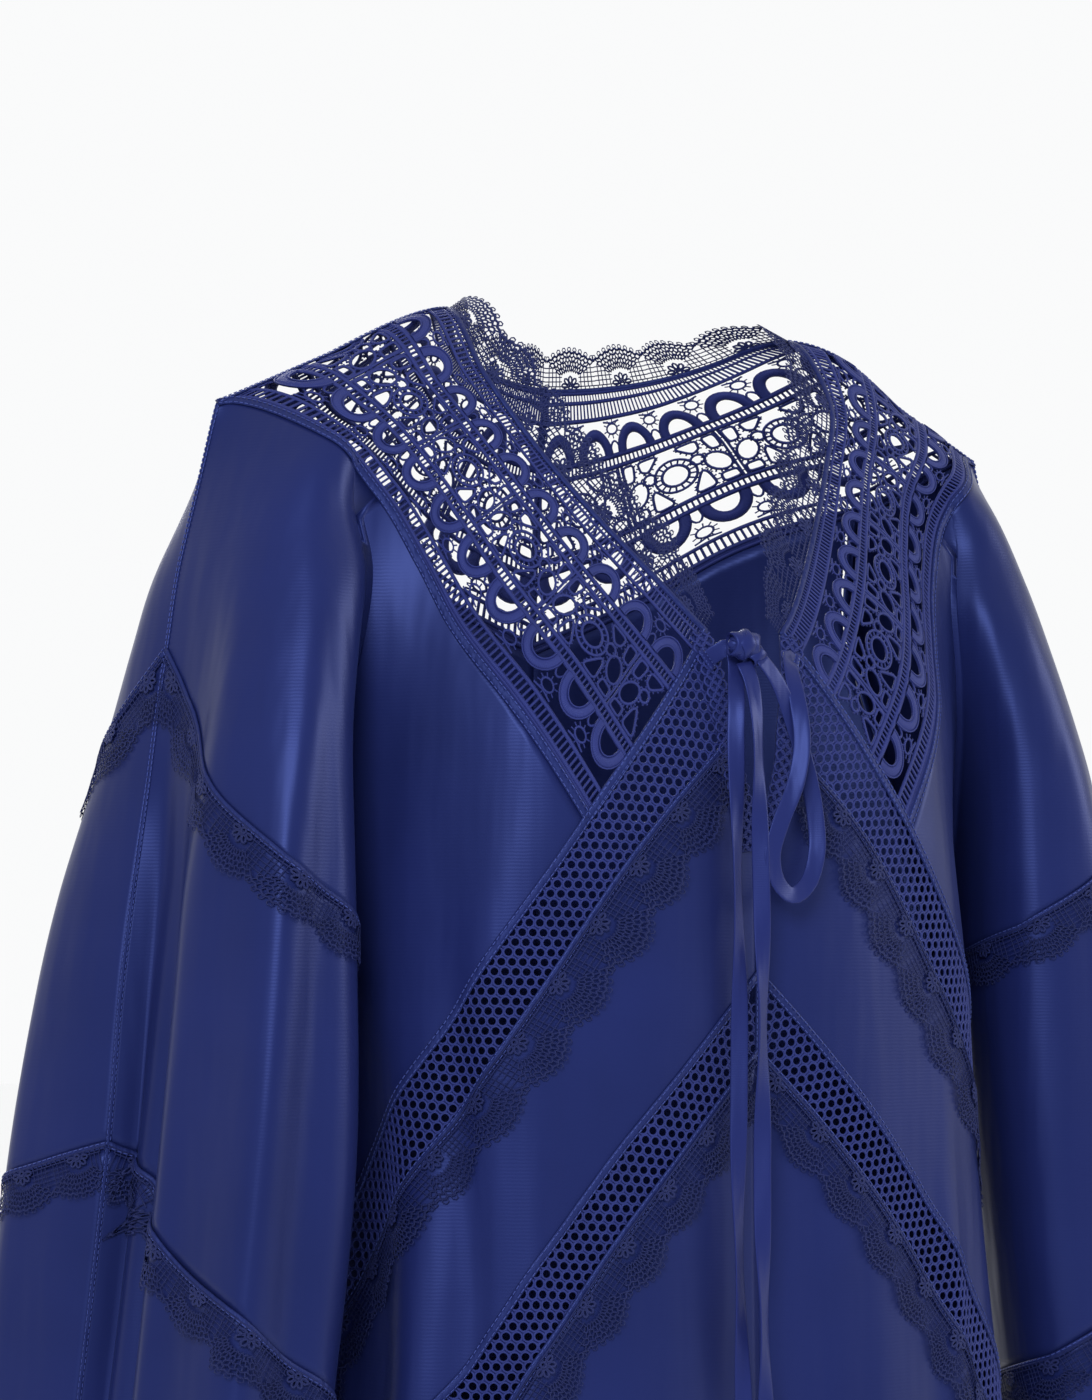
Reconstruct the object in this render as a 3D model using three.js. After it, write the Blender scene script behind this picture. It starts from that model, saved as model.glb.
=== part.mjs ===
// Silk kaftan with lace insertions, worn and hollow. Millimetres, +Z up, the wearer faces -Y.
// The origin is midway between the two neck points, on the line of the shoulders.
import * as THREE from 'three';

// ---- driving sizes -------------------------------------------------------------------------
const SILK_WALL = 1.2;
const LACE_WALL = 1.6;
const NET_WALL = 1.2;
const EDGING_WALL = 1.0;
const SEAM_GAP = 0.3;

const NECK_X = 109;            // half the neck width at the shoulder line
const SHOULDER_SLOPE = 0.481;  // fall of the shoulder line for each mm outwards
const SLOPE_FADE = [60, 450];  // depths between which the shoulder's slope dies out
const UNDERARM = 345;
const HEM = 1330;
const CUFF = 680;

const LACE_WIDTH = 135;
const LACE_CELLS = { front: 10, back: 7 };
const LACE_LINES = [0, 20, 44, 67, 91, 115, LACE_WIDTH];
const SCALLOP_PITCH = 36;
const EDGING_DROP = 17;        // depth of the edging where two scallops meet
const SCALLOP_DEPTH = 8;       // how much further a scallop's middle hangs
const EDGING_ROW = 27;
const EDGING_LIFT = 2.1;       // edging stands this far off the middle of the cloth it lies on

const RIBBON_WIDTH = 9;
const RIBBON_WALL = 1.5;
const KNOT = { centre: [-12.3, -140, -191.5], radii: [10, 7, 8] };

const navy = (name, color, roughness) =>
  Object.assign(new THREE.MeshStandardMaterial({ color, roughness, metalness: 0 }), { name });
const silk = navy('silk', '#25316f', 0.42);
const guipure = navy('guipure', '#20275f', 0.85);
const netting = navy('netting', '#2a3366', 0.8);
const edgingLace = navy('edging', '#1d2458', 0.85);
const ribbonSilk = navy('ribbon', '#27367a', 0.4);

// ---- sections of the worn cloth, left half ---------------------------------------------------
// Each row is a level section: x and y of the named lines that run down the garment.
const rows = (columns, table) => table.map((values) =>
  Object.fromEntries(columns.map((column, k) => [column, values[k]])));

const BODY_COLUMNS = ['depth', 'centreX', 'centreY', 'chestX', 'chestY', 'flankX', 'flankY', 'sideX', 'sideY'];
const BODY_FRONT = rows(BODY_COLUMNS, [
  [40, 0, -34, 60, -34, 118, -36, 180, -36],
  [83, 0, -60, 60, -60, 118, -58, 184, -44],
  [125, 0, -88, 62, -86, 118, -78, 180, -50],
  [169, 0, -114, 62, -111, 120, -97, 185, -47],
  [211, 0, -128, 64, -126, 126, -109, 192, -36],
  [280, 0, -133, 66, -134, 135, -107, 198, -18],
  [345, 0, -133, 70, -135, 144, -102, 200, -1],
  [460, 0, -131, 75, -135, 148, -103, 197, 0],
  [700, 0, -135, 88, -141, 165, -111, 220, 0],
  [1000, 0, -145, 105, -151, 198, -121, 272, 0],
  [1330, 0, -155, 125, -162, 232, -131, 325, 0],
]);
const SHOULDER = rows(BODY_COLUMNS, [[0, 0, 80, 60, 50, 120, 1, 178, 6]])[0];
const BODY_BACK = rows(BODY_COLUMNS, [
  [40, 0, 95, 60, 78, 118, 46, 180, 46],
  [83, 0, 102, 62, 96, 120, 74, 182, 58],
  [125, 0, 106, 64, 103, 122, 84, 180, 58],
  [169, 0, 108, 66, 106, 125, 88, 185, 50],
  [211, 0, 109, 68, 107, 128, 89, 192, 38],
  [280, 0, 108, 70, 107, 136, 86, 198, 20],
  [345, 0, 104, 72, 104, 144, 80, 200, 1],
  [460, 0, 98, 76, 100, 146, 76, 197, 0],
  [700, 0, 108, 88, 112, 165, 87, 220, 0],
  [1000, 0, 128, 105, 134, 198, 105, 272, 0],
  [1330, 0, 150, 125, 157, 232, 126, 325, 0],
]);
const BODY_LINES = ['centre', 'chest', 'flank', 'side'];

const SLEEVE_COLUMNS = ['depth', 'sideX', 'sideY', 'innerX', 'innerY', 'crestX', 'crestY',
  'edgeX', 'edgeY', 'foldX', 'foldY', 'seamX', 'seamY'];
const SLEEVE_FRONT = rows(SLEEVE_COLUMNS, [
  [40, 184, -36, 198, -39, 213, -36, 228, -25, 241, -8, 251, 11],
  [83, 188, -44, 202, -54, 223, -55, 243, -37, 254, -13, 262, 10],
  [125, 184, -50, 199, -66, 226, -70, 252, -47, 259, -17, 268, 9],
  [169, 189, -47, 203, -72, 234, -80, 262, -53, 264, -17, 274, 8],
  [211, 196, -36, 207, -74, 242, -87, 271, -55, 267, -15, 279, 7],
  [280, 202, -18, 209, -71, 252, -92, 281, -52, 268, -12, 288, 5],
  [345, 204, -1, 212, -68, 258, -95, 287, -53, 272, -12, 295, 3],
  [460, 214, 0, 220, -66, 268, -98, 297, -55, 281, -14, 304, 0],
  [680, 240, 0, 246, -64, 290, -98, 322, -58, 306, -16, 330, 0],
]);
const SLEEVE_SHOULDER = rows(SLEEVE_COLUMNS, [[0, 182, 6, 194, 8, 208, 9, 221, 10, 232, 11, 240, 12]])[0];
const SLEEVE_BACK = rows(SLEEVE_COLUMNS, [
  [40, 184, 46, 196, 48, 214, 45, 232, 37, 246, 26, 251, 11],
  [83, 186, 58, 198, 72, 222, 77, 250, 58, 265, 34, 262, 10],
  [125, 184, 58, 197, 78, 224, 88, 257, 68, 275, 38, 268, 9],
  [169, 189, 50, 202, 80, 230, 94, 265, 76, 283, 42, 274, 8],
  [211, 196, 38, 207, 80, 236, 98, 272, 82, 292, 44, 279, 7],
  [280, 202, 20, 212, 77, 243, 101, 284, 86, 307, 46, 288, 5],
  [345, 204, 1, 214, 73, 248, 101, 290, 87, 317, 46, 295, 3],
  [460, 214, 0, 223, 69, 258, 99, 300, 87, 329, 46, 304, 0],
  [680, 240, 0, 248, 66, 280, 97, 324, 85, 352, 44, 330, 0],
]);
const SLEEVE_LINES = ['side', 'inner', 'crest', 'edge', 'fold', 'seam'];

// Soft folds: where each runs (0 to 1 across its part), how wide, how high it stands at its foot.
const FOLD_COLUMNS = ['part', 'face', 'top', 'foot', 'from', 'to', 'width', 'height'];
const FOLDS = rows(FOLD_COLUMNS, [
  ['body', 1, 0.62, 0.70, 190, 520, 0.11, 7],
  ['body', 1, 0.80, 0.84, 250, 600, 0.07, -6],
  ['body', 1, 0.30, 0.26, 420, 1330, 0.13, 17],
  ['body', 1, 0.50, 0.48, 480, 1330, 0.09, -12],
  ['body', 1, 0.72, 0.70, 440, 1330, 0.12, 20],
  ['body', 1, 0.10, 0.08, 620, 1330, 0.08, -12],
  ['body', -1, 0.16, 0.14, 300, 1330, 0.11, 18],
  ['body', -1, 0.38, 0.36, 360, 1330, 0.10, -14],
  ['body', -1, 0.60, 0.60, 260, 1330, 0.12, 20],
  ['body', -1, 0.82, 0.80, 420, 1330, 0.08, -10],
  ['sleeve', 1, 0.21, 0.21, 110, 680, 0.12, 27],
  ['sleeve', 1, 0.50, 0.52, 170, 680, 0.08, -9],
  ['sleeve', -1, 0.45, 0.50, 150, 680, 0.12, -7],
]);

const clamp01 = (t) => Math.min(1, Math.max(0, t));
const lerp = (a, b, t) => a + (b - a) * t;
const smooth = (t) => clamp01(t) ** 2 * (3 - 2 * clamp01(t));
const slopeFade = (depth) => 1 - clamp01((depth - SLOPE_FADE[0]) / (SLOPE_FADE[1] - SLOPE_FADE[0]));

function sectionPoints(row, lines) {
  return lines.map((line) => {
    const x = row[`${line}X`];
    const drop = SHOULDER_SLOPE * Math.max(0, x - NECK_X) * slopeFade(row.depth);
    return new THREE.Vector3(x, row[`${line}Y`], -row.depth - drop);
  });
}

// One list of sections from the back's foot over the shoulder to the front's foot.
function sectionStack(front, shoulder, back, lines) {
  const behind = [...back].reverse().map((row) => ({ depth: -row.depth, points: sectionPoints(row, lines) }));
  const before = [shoulder, ...front].map((row) => ({ depth: row.depth, points: sectionPoints(row, lines) }));
  return [...behind, ...before];
}
const STACKS = {
  body: sectionStack(BODY_FRONT, SHOULDER, BODY_BACK, BODY_LINES),
  sleeve: sectionStack(SLEEVE_FRONT, SLEEVE_SHOULDER, SLEEVE_BACK, SLEEVE_LINES),
};

function hermite(p0, m0, p1, m1, t) {
  const t2 = t * t;
  const t3 = t2 * t;
  return p0.clone().multiplyScalar(2 * t3 - 3 * t2 + 1)
    .addScaledVector(m0, t3 - 2 * t2 + t)
    .addScaledVector(p1, -2 * t3 + 3 * t2)
    .addScaledVector(m1, t3 - t2);
}

// A line down the garment; the side line turns a sharp corner at the underarm.
function lineAt(stack, line, depth, isSide) {
  let k = stack.findIndex((section) => section.depth > depth) - 1;
  if (k < 0) k = depth < stack[0].depth ? 0 : stack.length - 2;
  const at = (i) => stack[i].points[line];
  const slope = (i, j) => at(j).clone().sub(at(i)).divideScalar(stack[j].depth - stack[i].depth);
  const bent = (i) => isSide && Math.abs(stack[i].depth) === UNDERARM;
  const before = k === 0 || bent(k) ? slope(k, k + 1) : slope(k - 1, k + 1);
  const after = k + 2 === stack.length || bent(k + 1) ? slope(k, k + 1) : slope(k, k + 2);
  const span = stack[k + 1].depth - stack[k].depth;
  return hermite(at(k), before.multiplyScalar(span), at(k + 1), after.multiplyScalar(span),
    (depth - stack[k].depth) / span);
}

function acrossSection(points, a) {
  const last = points.length - 1;
  const k = Math.min(last - 1, Math.floor(a * last));
  const chord = (i) => points[i + 1].clone().sub(points[i]);
  const inner = (i) => points[i + 1].clone().sub(points[i - 1]).multiplyScalar(0.5);
  const start = k > 0 ? inner(k) : chord(0).multiplyScalar(1.5).addScaledVector(inner(1), -0.5);
  const end = k + 1 < last ? inner(k + 1) : chord(last - 1).multiplyScalar(1.5).addScaledVector(inner(last - 1), -0.5);
  return hermite(points[k], start, points[k + 1], end, a * last - k);
}

function foldHeight(part, a, depth) {
  return FOLDS.filter((fold) => fold.part === part && fold.face * depth > fold.from)
    .reduce((sum, fold) => {
      const run = clamp01((Math.abs(depth) - fold.from) / (fold.to - fold.from));
      const away = (a - lerp(fold.top, fold.foot, run)) / fold.width;
      return sum + fold.height * smooth(run * 1.4) * Math.exp(-away * away) * smooth((1 - a) / 0.1);
    }, 0);
}

// The middle surface: a runs 0 to 1 from the centre to the side, or from the side to the overarm
// seam; a negative depth is on the back.
function clothPoint(part, a, depth) {
  const stack = STACKS[part];
  const points = stack[0].points.map((_, line) =>
    lineAt(stack, line, depth, line === (part === 'body' ? 3 : 0)));
  const point = acrossSection(points, a);
  const axisX = part === 'body' ? 0 : (points[0].x + points[5].x) / 2;
  const outward = new THREE.Vector3(point.x - axisX, point.y, 0).normalize();
  return point.addScaledVector(outward, foldHeight(part, a, depth));
}

const STEP_A = 0.004;
const STEP_DEPTH = 0.6;
function surfaceNormal(part, a, depth) {
  const end = part === 'body' ? HEM : CUFF;
  const a0 = Math.max(0, a - STEP_A);
  const a1 = Math.min(1, a + STEP_A);
  const d0 = Math.max(-end, depth - STEP_DEPTH);
  const d1 = Math.min(end, depth + STEP_DEPTH);
  const along = clothPoint(part, a1, depth).sub(clothPoint(part, a0, depth));
  const down = clothPoint(part, a, d1).sub(clothPoint(part, a, d0));
  return down.cross(along).normalize();
}

// A point of cloth with its outward normal. Where two walls meet in a crease both take the same one.
function cloth(part, a, depth) {
  const p = clothPoint(part, a, depth);
  const face = Math.sign(depth) || 1;
  const atSide = part === 'body' ? a > 0.9999 : a < 0.0001;
  let n = surfaceNormal(part, a, depth);
  if (atSide && Math.abs(Math.abs(depth) - UNDERARM) < 0.01) {
    n = new THREE.Vector3(0, -face, 0);
  } else if (atSide && Math.abs(depth) > UNDERARM) {
    n = new THREE.Vector3(part === 'body' ? 1 : -1, 0, 0);
  } else if (atSide) {
    n.add(surfaceNormal(part === 'body' ? 'sleeve' : 'body', part === 'body' ? 0 : 1, depth)).normalize();
  } else if (part === 'sleeve' && a > 0.9999) {
    n.add(surfaceNormal(part, a, -depth)).normalize();
  } else if (part === 'body' && a < 0.0001) {
    n.setX(0).normalize();
  }
  return { p, n, part, a, depth };
}

// Cloth at a distance x from the centre, found by halving; the narrow floor between the body's
// side line and the sleeve's is straight.
function clothAtX(x, depth) {
  const bodySide = clothPoint('body', 1, depth).x;
  const sleeveSide = clothPoint('sleeve', 0, depth).x;
  if (x > bodySide && x < sleeveSide) {
    return between(cloth('body', 1, depth), cloth('sleeve', 0, depth), (x - bodySide) / (sleeveSide - bodySide));
  }
  const part = x <= bodySide ? 'body' : 'sleeve';
  let [low, high] = [0, 1];
  for (let k = 0; k < 30; k += 1) {
    const middle = (low + high) / 2;
    if (clothPoint(part, middle, depth).x < x) low = middle;
    else high = middle;
  }
  return cloth(part, Math.abs(x) < 1e-6 ? 0 : (low + high) / 2, depth);
}

function between(one, other, t) {
  return {
    p: one.p.clone().lerp(other.p, t),
    n: one.n.clone().lerp(other.n, t),
    part: one.part,
    a: lerp(one.a, other.a, t),
    depth: lerp(one.depth, other.depth, t),
  };
}

// A point part of the way along a list, on the straight line between its neighbours.
function along(list, place) {
  const k = Math.min(list.length - 2, Math.floor(place));
  if (place === k || place >= list.length - 1) return list[Math.round(place)];
  return between(list[k], list[k + 1], place - k);
}

const range = (count, make) => Array.from({ length: count + 1 }, (_, k) => make(k));

// ---- walls -----------------------------------------------------------------------------------
// Makes a closed wall about a triangulated middle surface. Open edges draw back by half the seam
// gap, so that two walls which share a seam's points lie the whole gap apart.
function wall(name, points, triangles, thickness, material, side = 1) {
  const merged = new Map();
  const spots = [];
  const index = points.map(({ p, n }) => {
    const q = new THREE.Vector3(p.x * side, p.y, p.z);
    const key = [q.x, q.y, q.z].map((value) => Math.round(value * 2000)).join();
    if (!merged.has(key)) {
      merged.set(key, spots.length);
      spots.push({ p: q, n: new THREE.Vector3(n.x * side, n.y, n.z), pull: [] });
    }
    return merged.get(key);
  });
  let faces = triangles.map((triangle) => triangle.map((k) => index[k]))
    .filter(([a, b, c]) => a !== b && b !== c && a !== c);
  const facing = faces.reduce((sum, [a, b, c]) => sum
    + spots[b].p.clone().sub(spots[a].p).cross(spots[c].p.clone().sub(spots[a].p)).dot(spots[a].n), 0);
  if (facing < 0) faces = faces.map(([a, b, c]) => [a, c, b]);
  const open = new Map();
  for (const face of faces) {
    face.forEach((a, k) => {
      const b = face[(k + 1) % 3];
      if (!open.delete(`${b},${a}`)) open.set(`${a},${b}`, [a, b]);
    });
  }
  for (const [a, b] of open.values()) {
    const run = spots[b].p.clone().sub(spots[a].p).normalize();
    for (const spot of [spots[a], spots[b]]) spot.pull.push(spot.n.clone().cross(run).normalize());
  }
  for (const { p, pull } of spots) {
    if (pull.length !== 2) continue;
    const bend = Math.max(0.06, 1 + pull[0].dot(pull[1]));
    p.addScaledVector(pull[0].clone().add(pull[1]), SEAM_GAP / 2 / bend);
  }
  const positions = [];
  const shift = spots.length;
  for (const offset of [thickness / 2, -thickness / 2]) {
    for (const { p, n } of spots) positions.push(...p.clone().addScaledVector(n, offset).toArray());
  }
  const order = [];
  for (const [a, b, c] of faces) order.push(a, b, c, a + shift, c + shift, b + shift);
  for (const [a, b] of open.values()) {
    const aFirst = spots[a].p.z - spots[b].p.z > 1e-3
      || (Math.abs(spots[a].p.z - spots[b].p.z) <= 1e-3 && Math.abs(spots[a].p.x) < Math.abs(spots[b].p.x));
    if (aFirst) order.push(b, a, b + shift, a, a + shift, b + shift);
    else order.push(b, a, a + shift, b, a + shift, b + shift);
  }
  const geometry = new THREE.BufferGeometry();
  geometry.setAttribute('position', new THREE.Float32BufferAttribute(positions, 3));
  geometry.setIndex(order);
  geometry.computeVertexNormals();
  const mesh = new THREE.Mesh(geometry, material);
  mesh.name = name;
  return mesh;
}

// A wall from a grid of cloth points; a missing point leaves its squares out.
function panel(name, grid, thickness, material, side) {
  const points = [];
  const place = grid.map((row) => row.map((point) => (point ? points.push(point) - 1 : -1)));
  const triangles = [];
  for (let i = 0; i + 1 < grid.length; i += 1) {
    for (let j = 0; j + 1 < grid[i].length; j += 1) {
      const [a, b, c, d] = [place[i][j], place[i][j + 1], place[i + 1][j + 1], place[i + 1][j]];
      if (a < 0 || b < 0 || c === undefined || c < 0 || d < 0) continue;
      const shorter = points[a].p.distanceTo(points[c].p) <= points[b].p.distanceTo(points[d].p);
      triangles.push(...(shorter ? [[a, b, c], [a, c, d]] : [[a, b, d], [b, c, d]]));
    }
  }
  return wall(name, points, triangles, thickness, material, side);
}

// ---- lace bands ------------------------------------------------------------------------------
// Each band is laid between its neckline edge and its outer edge, both given as x and depth.
const curve = (points) => new THREE.SplineCurve(points.map(([x, y]) => new THREE.Vector2(x, y)));
const BANDS = {
  front: {
    neck: curve([[NECK_X, 0], [109, 41], [91, 83], [66, 125], [37, 167], [23, 184]]),
    outer: curve([[240, 0], [200, 40], [175, 84], [159, 131], [147, 175], [130, 217], [97, 280]]),
  },
  back: {
    neck: curve([[NECK_X, 0], [86, -16], [58, -24], [28, -28], [0, -29]]),
    outer: curve([[240, 0], [212, -32], [172, -68], [118, -112], [60, -152], [0, -178]]),
  },
};

function bandPoint(face, cell, t) {
  const s = cell / LACE_CELLS[face];
  const neck = BANDS[face].neck.getPointAt(s);
  const outer = BANDS[face].outer.getPointAt(s);
  const spot = neck.lerp(outer, t / LACE_WIDTH);
  return clothAtX(spot.x, spot.y);
}

// Holes of one repeat, in mm along and across it: a ring, the two rows of arches, and the gaps
// beside the ring and between the arches.
const LACE_HOLES = rows(['along', 'across', 'length', 'width', 'sides', 'turn'], [
  [11, 67.5, 17, 17, 8, 0.5],
  [11, 28, 15, 11, 5, 0.25],
  [11, 107, 15, 11, 5, 0.75],
  [25.5, 52, 7, 8, 3, 0.75],
  [25.5, 83, 7, 8, 3, 0.25],
  [25.5, 19, 7, 7, 3, 0.25],
  [25.5, 116, 7, 7, 3, 0.75],
]);
const CELL_LENGTH = 30;
const SWELL = 0.1;

const holeOutline = (hole) => range(hole.sides - 1, (k) => {
  const angle = (k + hole.turn) / hole.sides * 2 * Math.PI;
  return new THREE.Vector2(hole.along + Math.cos(angle) * hole.length / 2,
    hole.across + Math.sin(angle) * hole.width / 2);
});

function laceBand(name, face, side) {
  const up = LACE_LINES.map((t) => new THREE.Vector2(CELL_LENGTH, t));
  const down = LACE_LINES.map((t) => new THREE.Vector2(0, t)).reverse();
  const outline = [new THREE.Vector2(CELL_LENGTH / 2, 0), ...up,
    new THREE.Vector2(CELL_LENGTH / 2, LACE_WIDTH), ...down];
  const holes = LACE_HOLES.map(holeOutline);
  const flat = [...outline, ...holes.flat()];
  // The outline is swelled a little for the triangulation, which would drop points in one line.
  const swelled = outline.map(({ x, y }) => new THREE.Vector2(
    x + (x - CELL_LENGTH / 2) * SWELL * y * (LACE_WIDTH - y) / LACE_WIDTH ** 2,
    y + (y - LACE_WIDTH / 2) * SWELL * x * (CELL_LENGTH - x) / CELL_LENGTH ** 2,
  ));
  const cut = THREE.ShapeUtils.triangulateShape(swelled, holes);
  const points = [];
  const triangles = [];
  for (let cell = 0; cell < LACE_CELLS[face]; cell += 1) {
    triangles.push(...cut.map((triangle) => triangle.map((k) => k + points.length)));
    points.push(...flat.map(({ x, y }) => bandPoint(face, cell + x / CELL_LENGTH, y)));
  }
  return wall(name, points, triangles, LACE_WALL, guipure, side);
}

const laceEdge = (face) => range(LACE_CELLS[face] * 2, (k) => bandPoint(face, k / 2, LACE_WIDTH));
const LACE_EDGE = { front: laceEdge('front'), back: laceEdge('back') };

// ---- panels ----------------------------------------------------------------------------------
// Depths at which the side seam may bend; between them both its walls run straight.
const NET_SIDE = { upperTop: 530, upperFoot: 580, lowerTop: 690, lowerFoot: 745 };
const SIDE_BENDS = [UNDERARM, NET_SIDE.upperTop, NET_SIDE.lowerFoot,
  (NET_SIDE.lowerFoot + HEM) / 2, HEM];

const sideX = (depth) => clothPoint('body', 1, depth).x;

function sideSeam(depth) {
  const face = Math.sign(depth);
  const k = Math.max(0, SIDE_BENDS.findIndex((bend) => bend >= Math.abs(depth)) - 1);
  const [top, foot] = [SIDE_BENDS[k], SIDE_BENDS[k + 1]];
  return between(cloth('body', 1, face * top), cloth('body', 1, face * foot),
    (Math.abs(depth) - top) / (foot - top));
}

const bodySpot = (a, depth) => (a > 0.9999 && Math.abs(depth) > UNDERARM ? sideSeam(depth) : cloth('body', a, depth));

// Sleeve seams across the sleeve, from the underarm to the overarm seam.
const TIER_DEPTHS = rows(['a', 'upper', 'lower'], [
  [0, UNDERARM, 595], [0.2, 318, 570], [0.4, 270, 528], [0.6, 218, 490], [0.8, 172, 462], [1, 131, 444],
]);
function tierDepth(tier, a) {
  const k = Math.min(TIER_DEPTHS.length - 2, Math.floor(a * 5 + 1e-9));
  return lerp(TIER_DEPTHS[k][tier], TIER_DEPTHS[k + 1][tier], a * 5 - k);
}

const SLEEVE_ACROSS = [0, 0.2, 0.3, 0.4, 0.5, 0.6, 0.7, 0.8, 0.9, 1];
const ARM_ROWS = 8;
// Where the shoulder panels' columns start along the lace's outer edge, in half repeats.
const SHOULDER_STARTS = {
  front: { body: 7, sleeve: [6.74, 6, 5, 4, 3, 2, 1.5, 1, 0.5, 0] },
  back: { body: 4, sleeve: [3.8, 3.4, 3, 2.5, 2, 1.5, 1, 0.7, 0.35, 0] },
};

// The sleeve's part of a shoulder panel, from the lace's edge down to the first sleeve seam.
function shoulderSleeve(face, sign, i) {
  const t = i / ARM_ROWS;
  return SLEEVE_ACROSS.map((a, j) => {
    const start = along(LACE_EDGE[face], SHOULDER_STARTS[face].sleeve[j]);
    if (i === 0) return start;
    const startA = start.part === 'sleeve' ? start.a : 0;
    const depth = lerp(start.depth, sign * tierDepth('upper', a), t);
    return cloth('sleeve', a === 0 || a === 1 ? a : lerp(startA, a, smooth(t * 2.5)), depth);
  });
}

const NET_UPPER_TOP = curve([[97, 280], [142, 352], [174, 432], [sideX(NET_SIDE.upperTop), NET_SIDE.upperTop]]);
const SIDE_COLUMNS = 6;
const FRONT_SIDE_ROWS = LACE_EDGE.front.length - 1 - SHOULDER_STARTS.front.body;
const netUpperOuter = range(SIDE_COLUMNS, (k) => {
  if (k === 0) return LACE_EDGE.front[LACE_EDGE.front.length - 1];
  if (k === SIDE_COLUMNS) return sideSeam(NET_SIDE.upperTop);
  const spot = NET_UPPER_TOP.getPointAt(k / SIDE_COLUMNS);
  return clothAtX(spot.x, spot.y);
});

// Side front: from the lace over the breast to the side seam, and out over the upper sleeve.
function sideFrontGrid() {
  const first = SHOULDER_STARTS.front.body;
  const top = LACE_EDGE.front[first];
  const corner = { left: LACE_EDGE.front.at(-1), right: netUpperOuter.at(-1) };
  return range(FRONT_SIDE_ROWS, (i) => {
    const left = LACE_EDGE.front[first + i];
    const rightDepth = i <= ARM_ROWS ? lerp(top.depth, UNDERARM, i / ARM_ROWS)
      : lerp(UNDERARM, NET_SIDE.upperTop, (i - ARM_ROWS) / (FRONT_SIDE_ROWS - ARM_ROWS));
    const body = range(SIDE_COLUMNS, (j) => {
      if (i === 0) return top;
      if (i === FRONT_SIDE_ROWS) return netUpperOuter[j];
      if (j === 0) return left;
      const t = j / SIDE_COLUMNS;
      const bend = (i / FRONT_SIDE_ROWS) ** 3;
      const straight = { a: lerp(corner.left.a, 1, t), depth: lerp(corner.left.depth, corner.right.depth, t) };
      const leftA = left.part === 'body' ? left.a : 1;
      return bodySpot(lerp(leftA, 1, t) + (netUpperOuter[j].a - straight.a) * bend * (j < SIDE_COLUMNS ? 1 : 0),
        lerp(left.depth, rightDepth, t) + (netUpperOuter[j].depth - straight.depth) * bend);
    });
    const sleeve = i <= ARM_ROWS ? shoulderSleeve('front', 1, i) : SLEEVE_ACROSS.map(() => null);
    return [...body, ...sleeve];
  });
}

// Back: one panel a side from the lace yoke to the hem, and out over the upper sleeve.
const BACK_ROWS_BELOW = 8;
function backGrid() {
  const edge = LACE_EDGE.back;
  const columns = edge.length - 1 - SHOULDER_STARTS.back.body;
  return range(ARM_ROWS + BACK_ROWS_BELOW, (i) => {
    const body = range(columns, (j) => {
      const start = edge[edge.length - 1 - j];
      if (i === 0) return start;
      const below = i - ARM_ROWS;
      const low = SIDE_BENDS[Math.floor(below / 2)];
      const next = SIDE_BENDS[Math.min(SIDE_BENDS.length - 1, Math.floor(below / 2) + 1)];
      const depth = i <= ARM_ROWS ? lerp(start.depth, -UNDERARM, i / ARM_ROWS) : -lerp(low, next, (below % 2) / 2);
      const startA = start.part === 'body' ? start.a : 1;
      return bodySpot(j === columns ? 1 : lerp(startA, j / columns, smooth(i / ARM_ROWS * 1.6)), depth);
    });
    const sleeve = i <= ARM_ROWS ? shoulderSleeve('back', -1, i) : SLEEVE_ACROSS.map(() => null);
    return [...body, ...sleeve];
  });
}

// How far down a panel each of its rows lies; the first takes in the edging that hangs on it.
function rowPlace(shares, i, length) {
  return i === 1 ? EDGING_ROW / length : shares[i];
}

function sleeveGrid(sign, shares, topDepth, footDepth) {
  return shares.map((_, i) => SLEEVE_ACROSS.map((a) => {
    const length = footDepth(a) - topDepth(a);
    return cloth('sleeve', a, sign * (topDepth(a) + length * rowPlace(shares, i, length)));
  }));
}

// Front bands below the lace: each edge is a curve from the centre to the side seam. Columns
// follow the lace's lines first, then run on to the side.
const SLIT = { corner: [23, 184], net: [13, 238], foot: 300 };
const slitX = (depth) => (depth < SLIT.net[1]
  ? lerp(SLIT.corner[0], SLIT.net[0], (depth - SLIT.corner[1]) / (SLIT.net[1] - SLIT.corner[1]))
  : SLIT.net[0] * (1 - smooth((depth - SLIT.net[1]) / (SLIT.foot - SLIT.net[1]))));

function edgeSpots(points, split) {
  const line = curve(points);
  const places = [...LACE_LINES.map((t) => t / LACE_WIDTH * split),
    ...range(SIDE_COLUMNS - 1, (k) => lerp(split, 1, (k + 1) / SIDE_COLUMNS))];
  return places.map((place, k) => {
    if (k === places.length - 1) return sideSeam(points.at(-1)[1]);
    const spot = line.getPointAt(place);
    return clothAtX(spot.x, spot.y);
  });
}
const EDGES = {
  netUpperTop: [...LACE_LINES.map((t) => bandPoint('front', LACE_CELLS.front, t)), ...netUpperOuter.slice(1)],
  netUpperFoot: edgeSpots([SLIT.net, [50, 274], [82, 312], [118, 366], [151, 428], [176, 488], [196, 546],
    [sideX(NET_SIDE.upperFoot), NET_SIDE.upperFoot]], 0.27),
  netLowerTop: edgeSpots([[0, 360], [40, 402], [85, 452], [128, 512], [166, 580], [195, 640],
    [sideX(NET_SIDE.lowerTop), NET_SIDE.lowerTop]], 0.31),
  netLowerFoot: edgeSpots([[0, 400], [40, 442], [84, 494], [126, 555], [165, 625], [198, 692],
    [sideX(NET_SIDE.lowerFoot), NET_SIDE.lowerFoot]], 0.33),
  hem: edgeSpots([[0, HEM], [160, HEM], [sideX(HEM), HEM]], 0.42),
};

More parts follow.
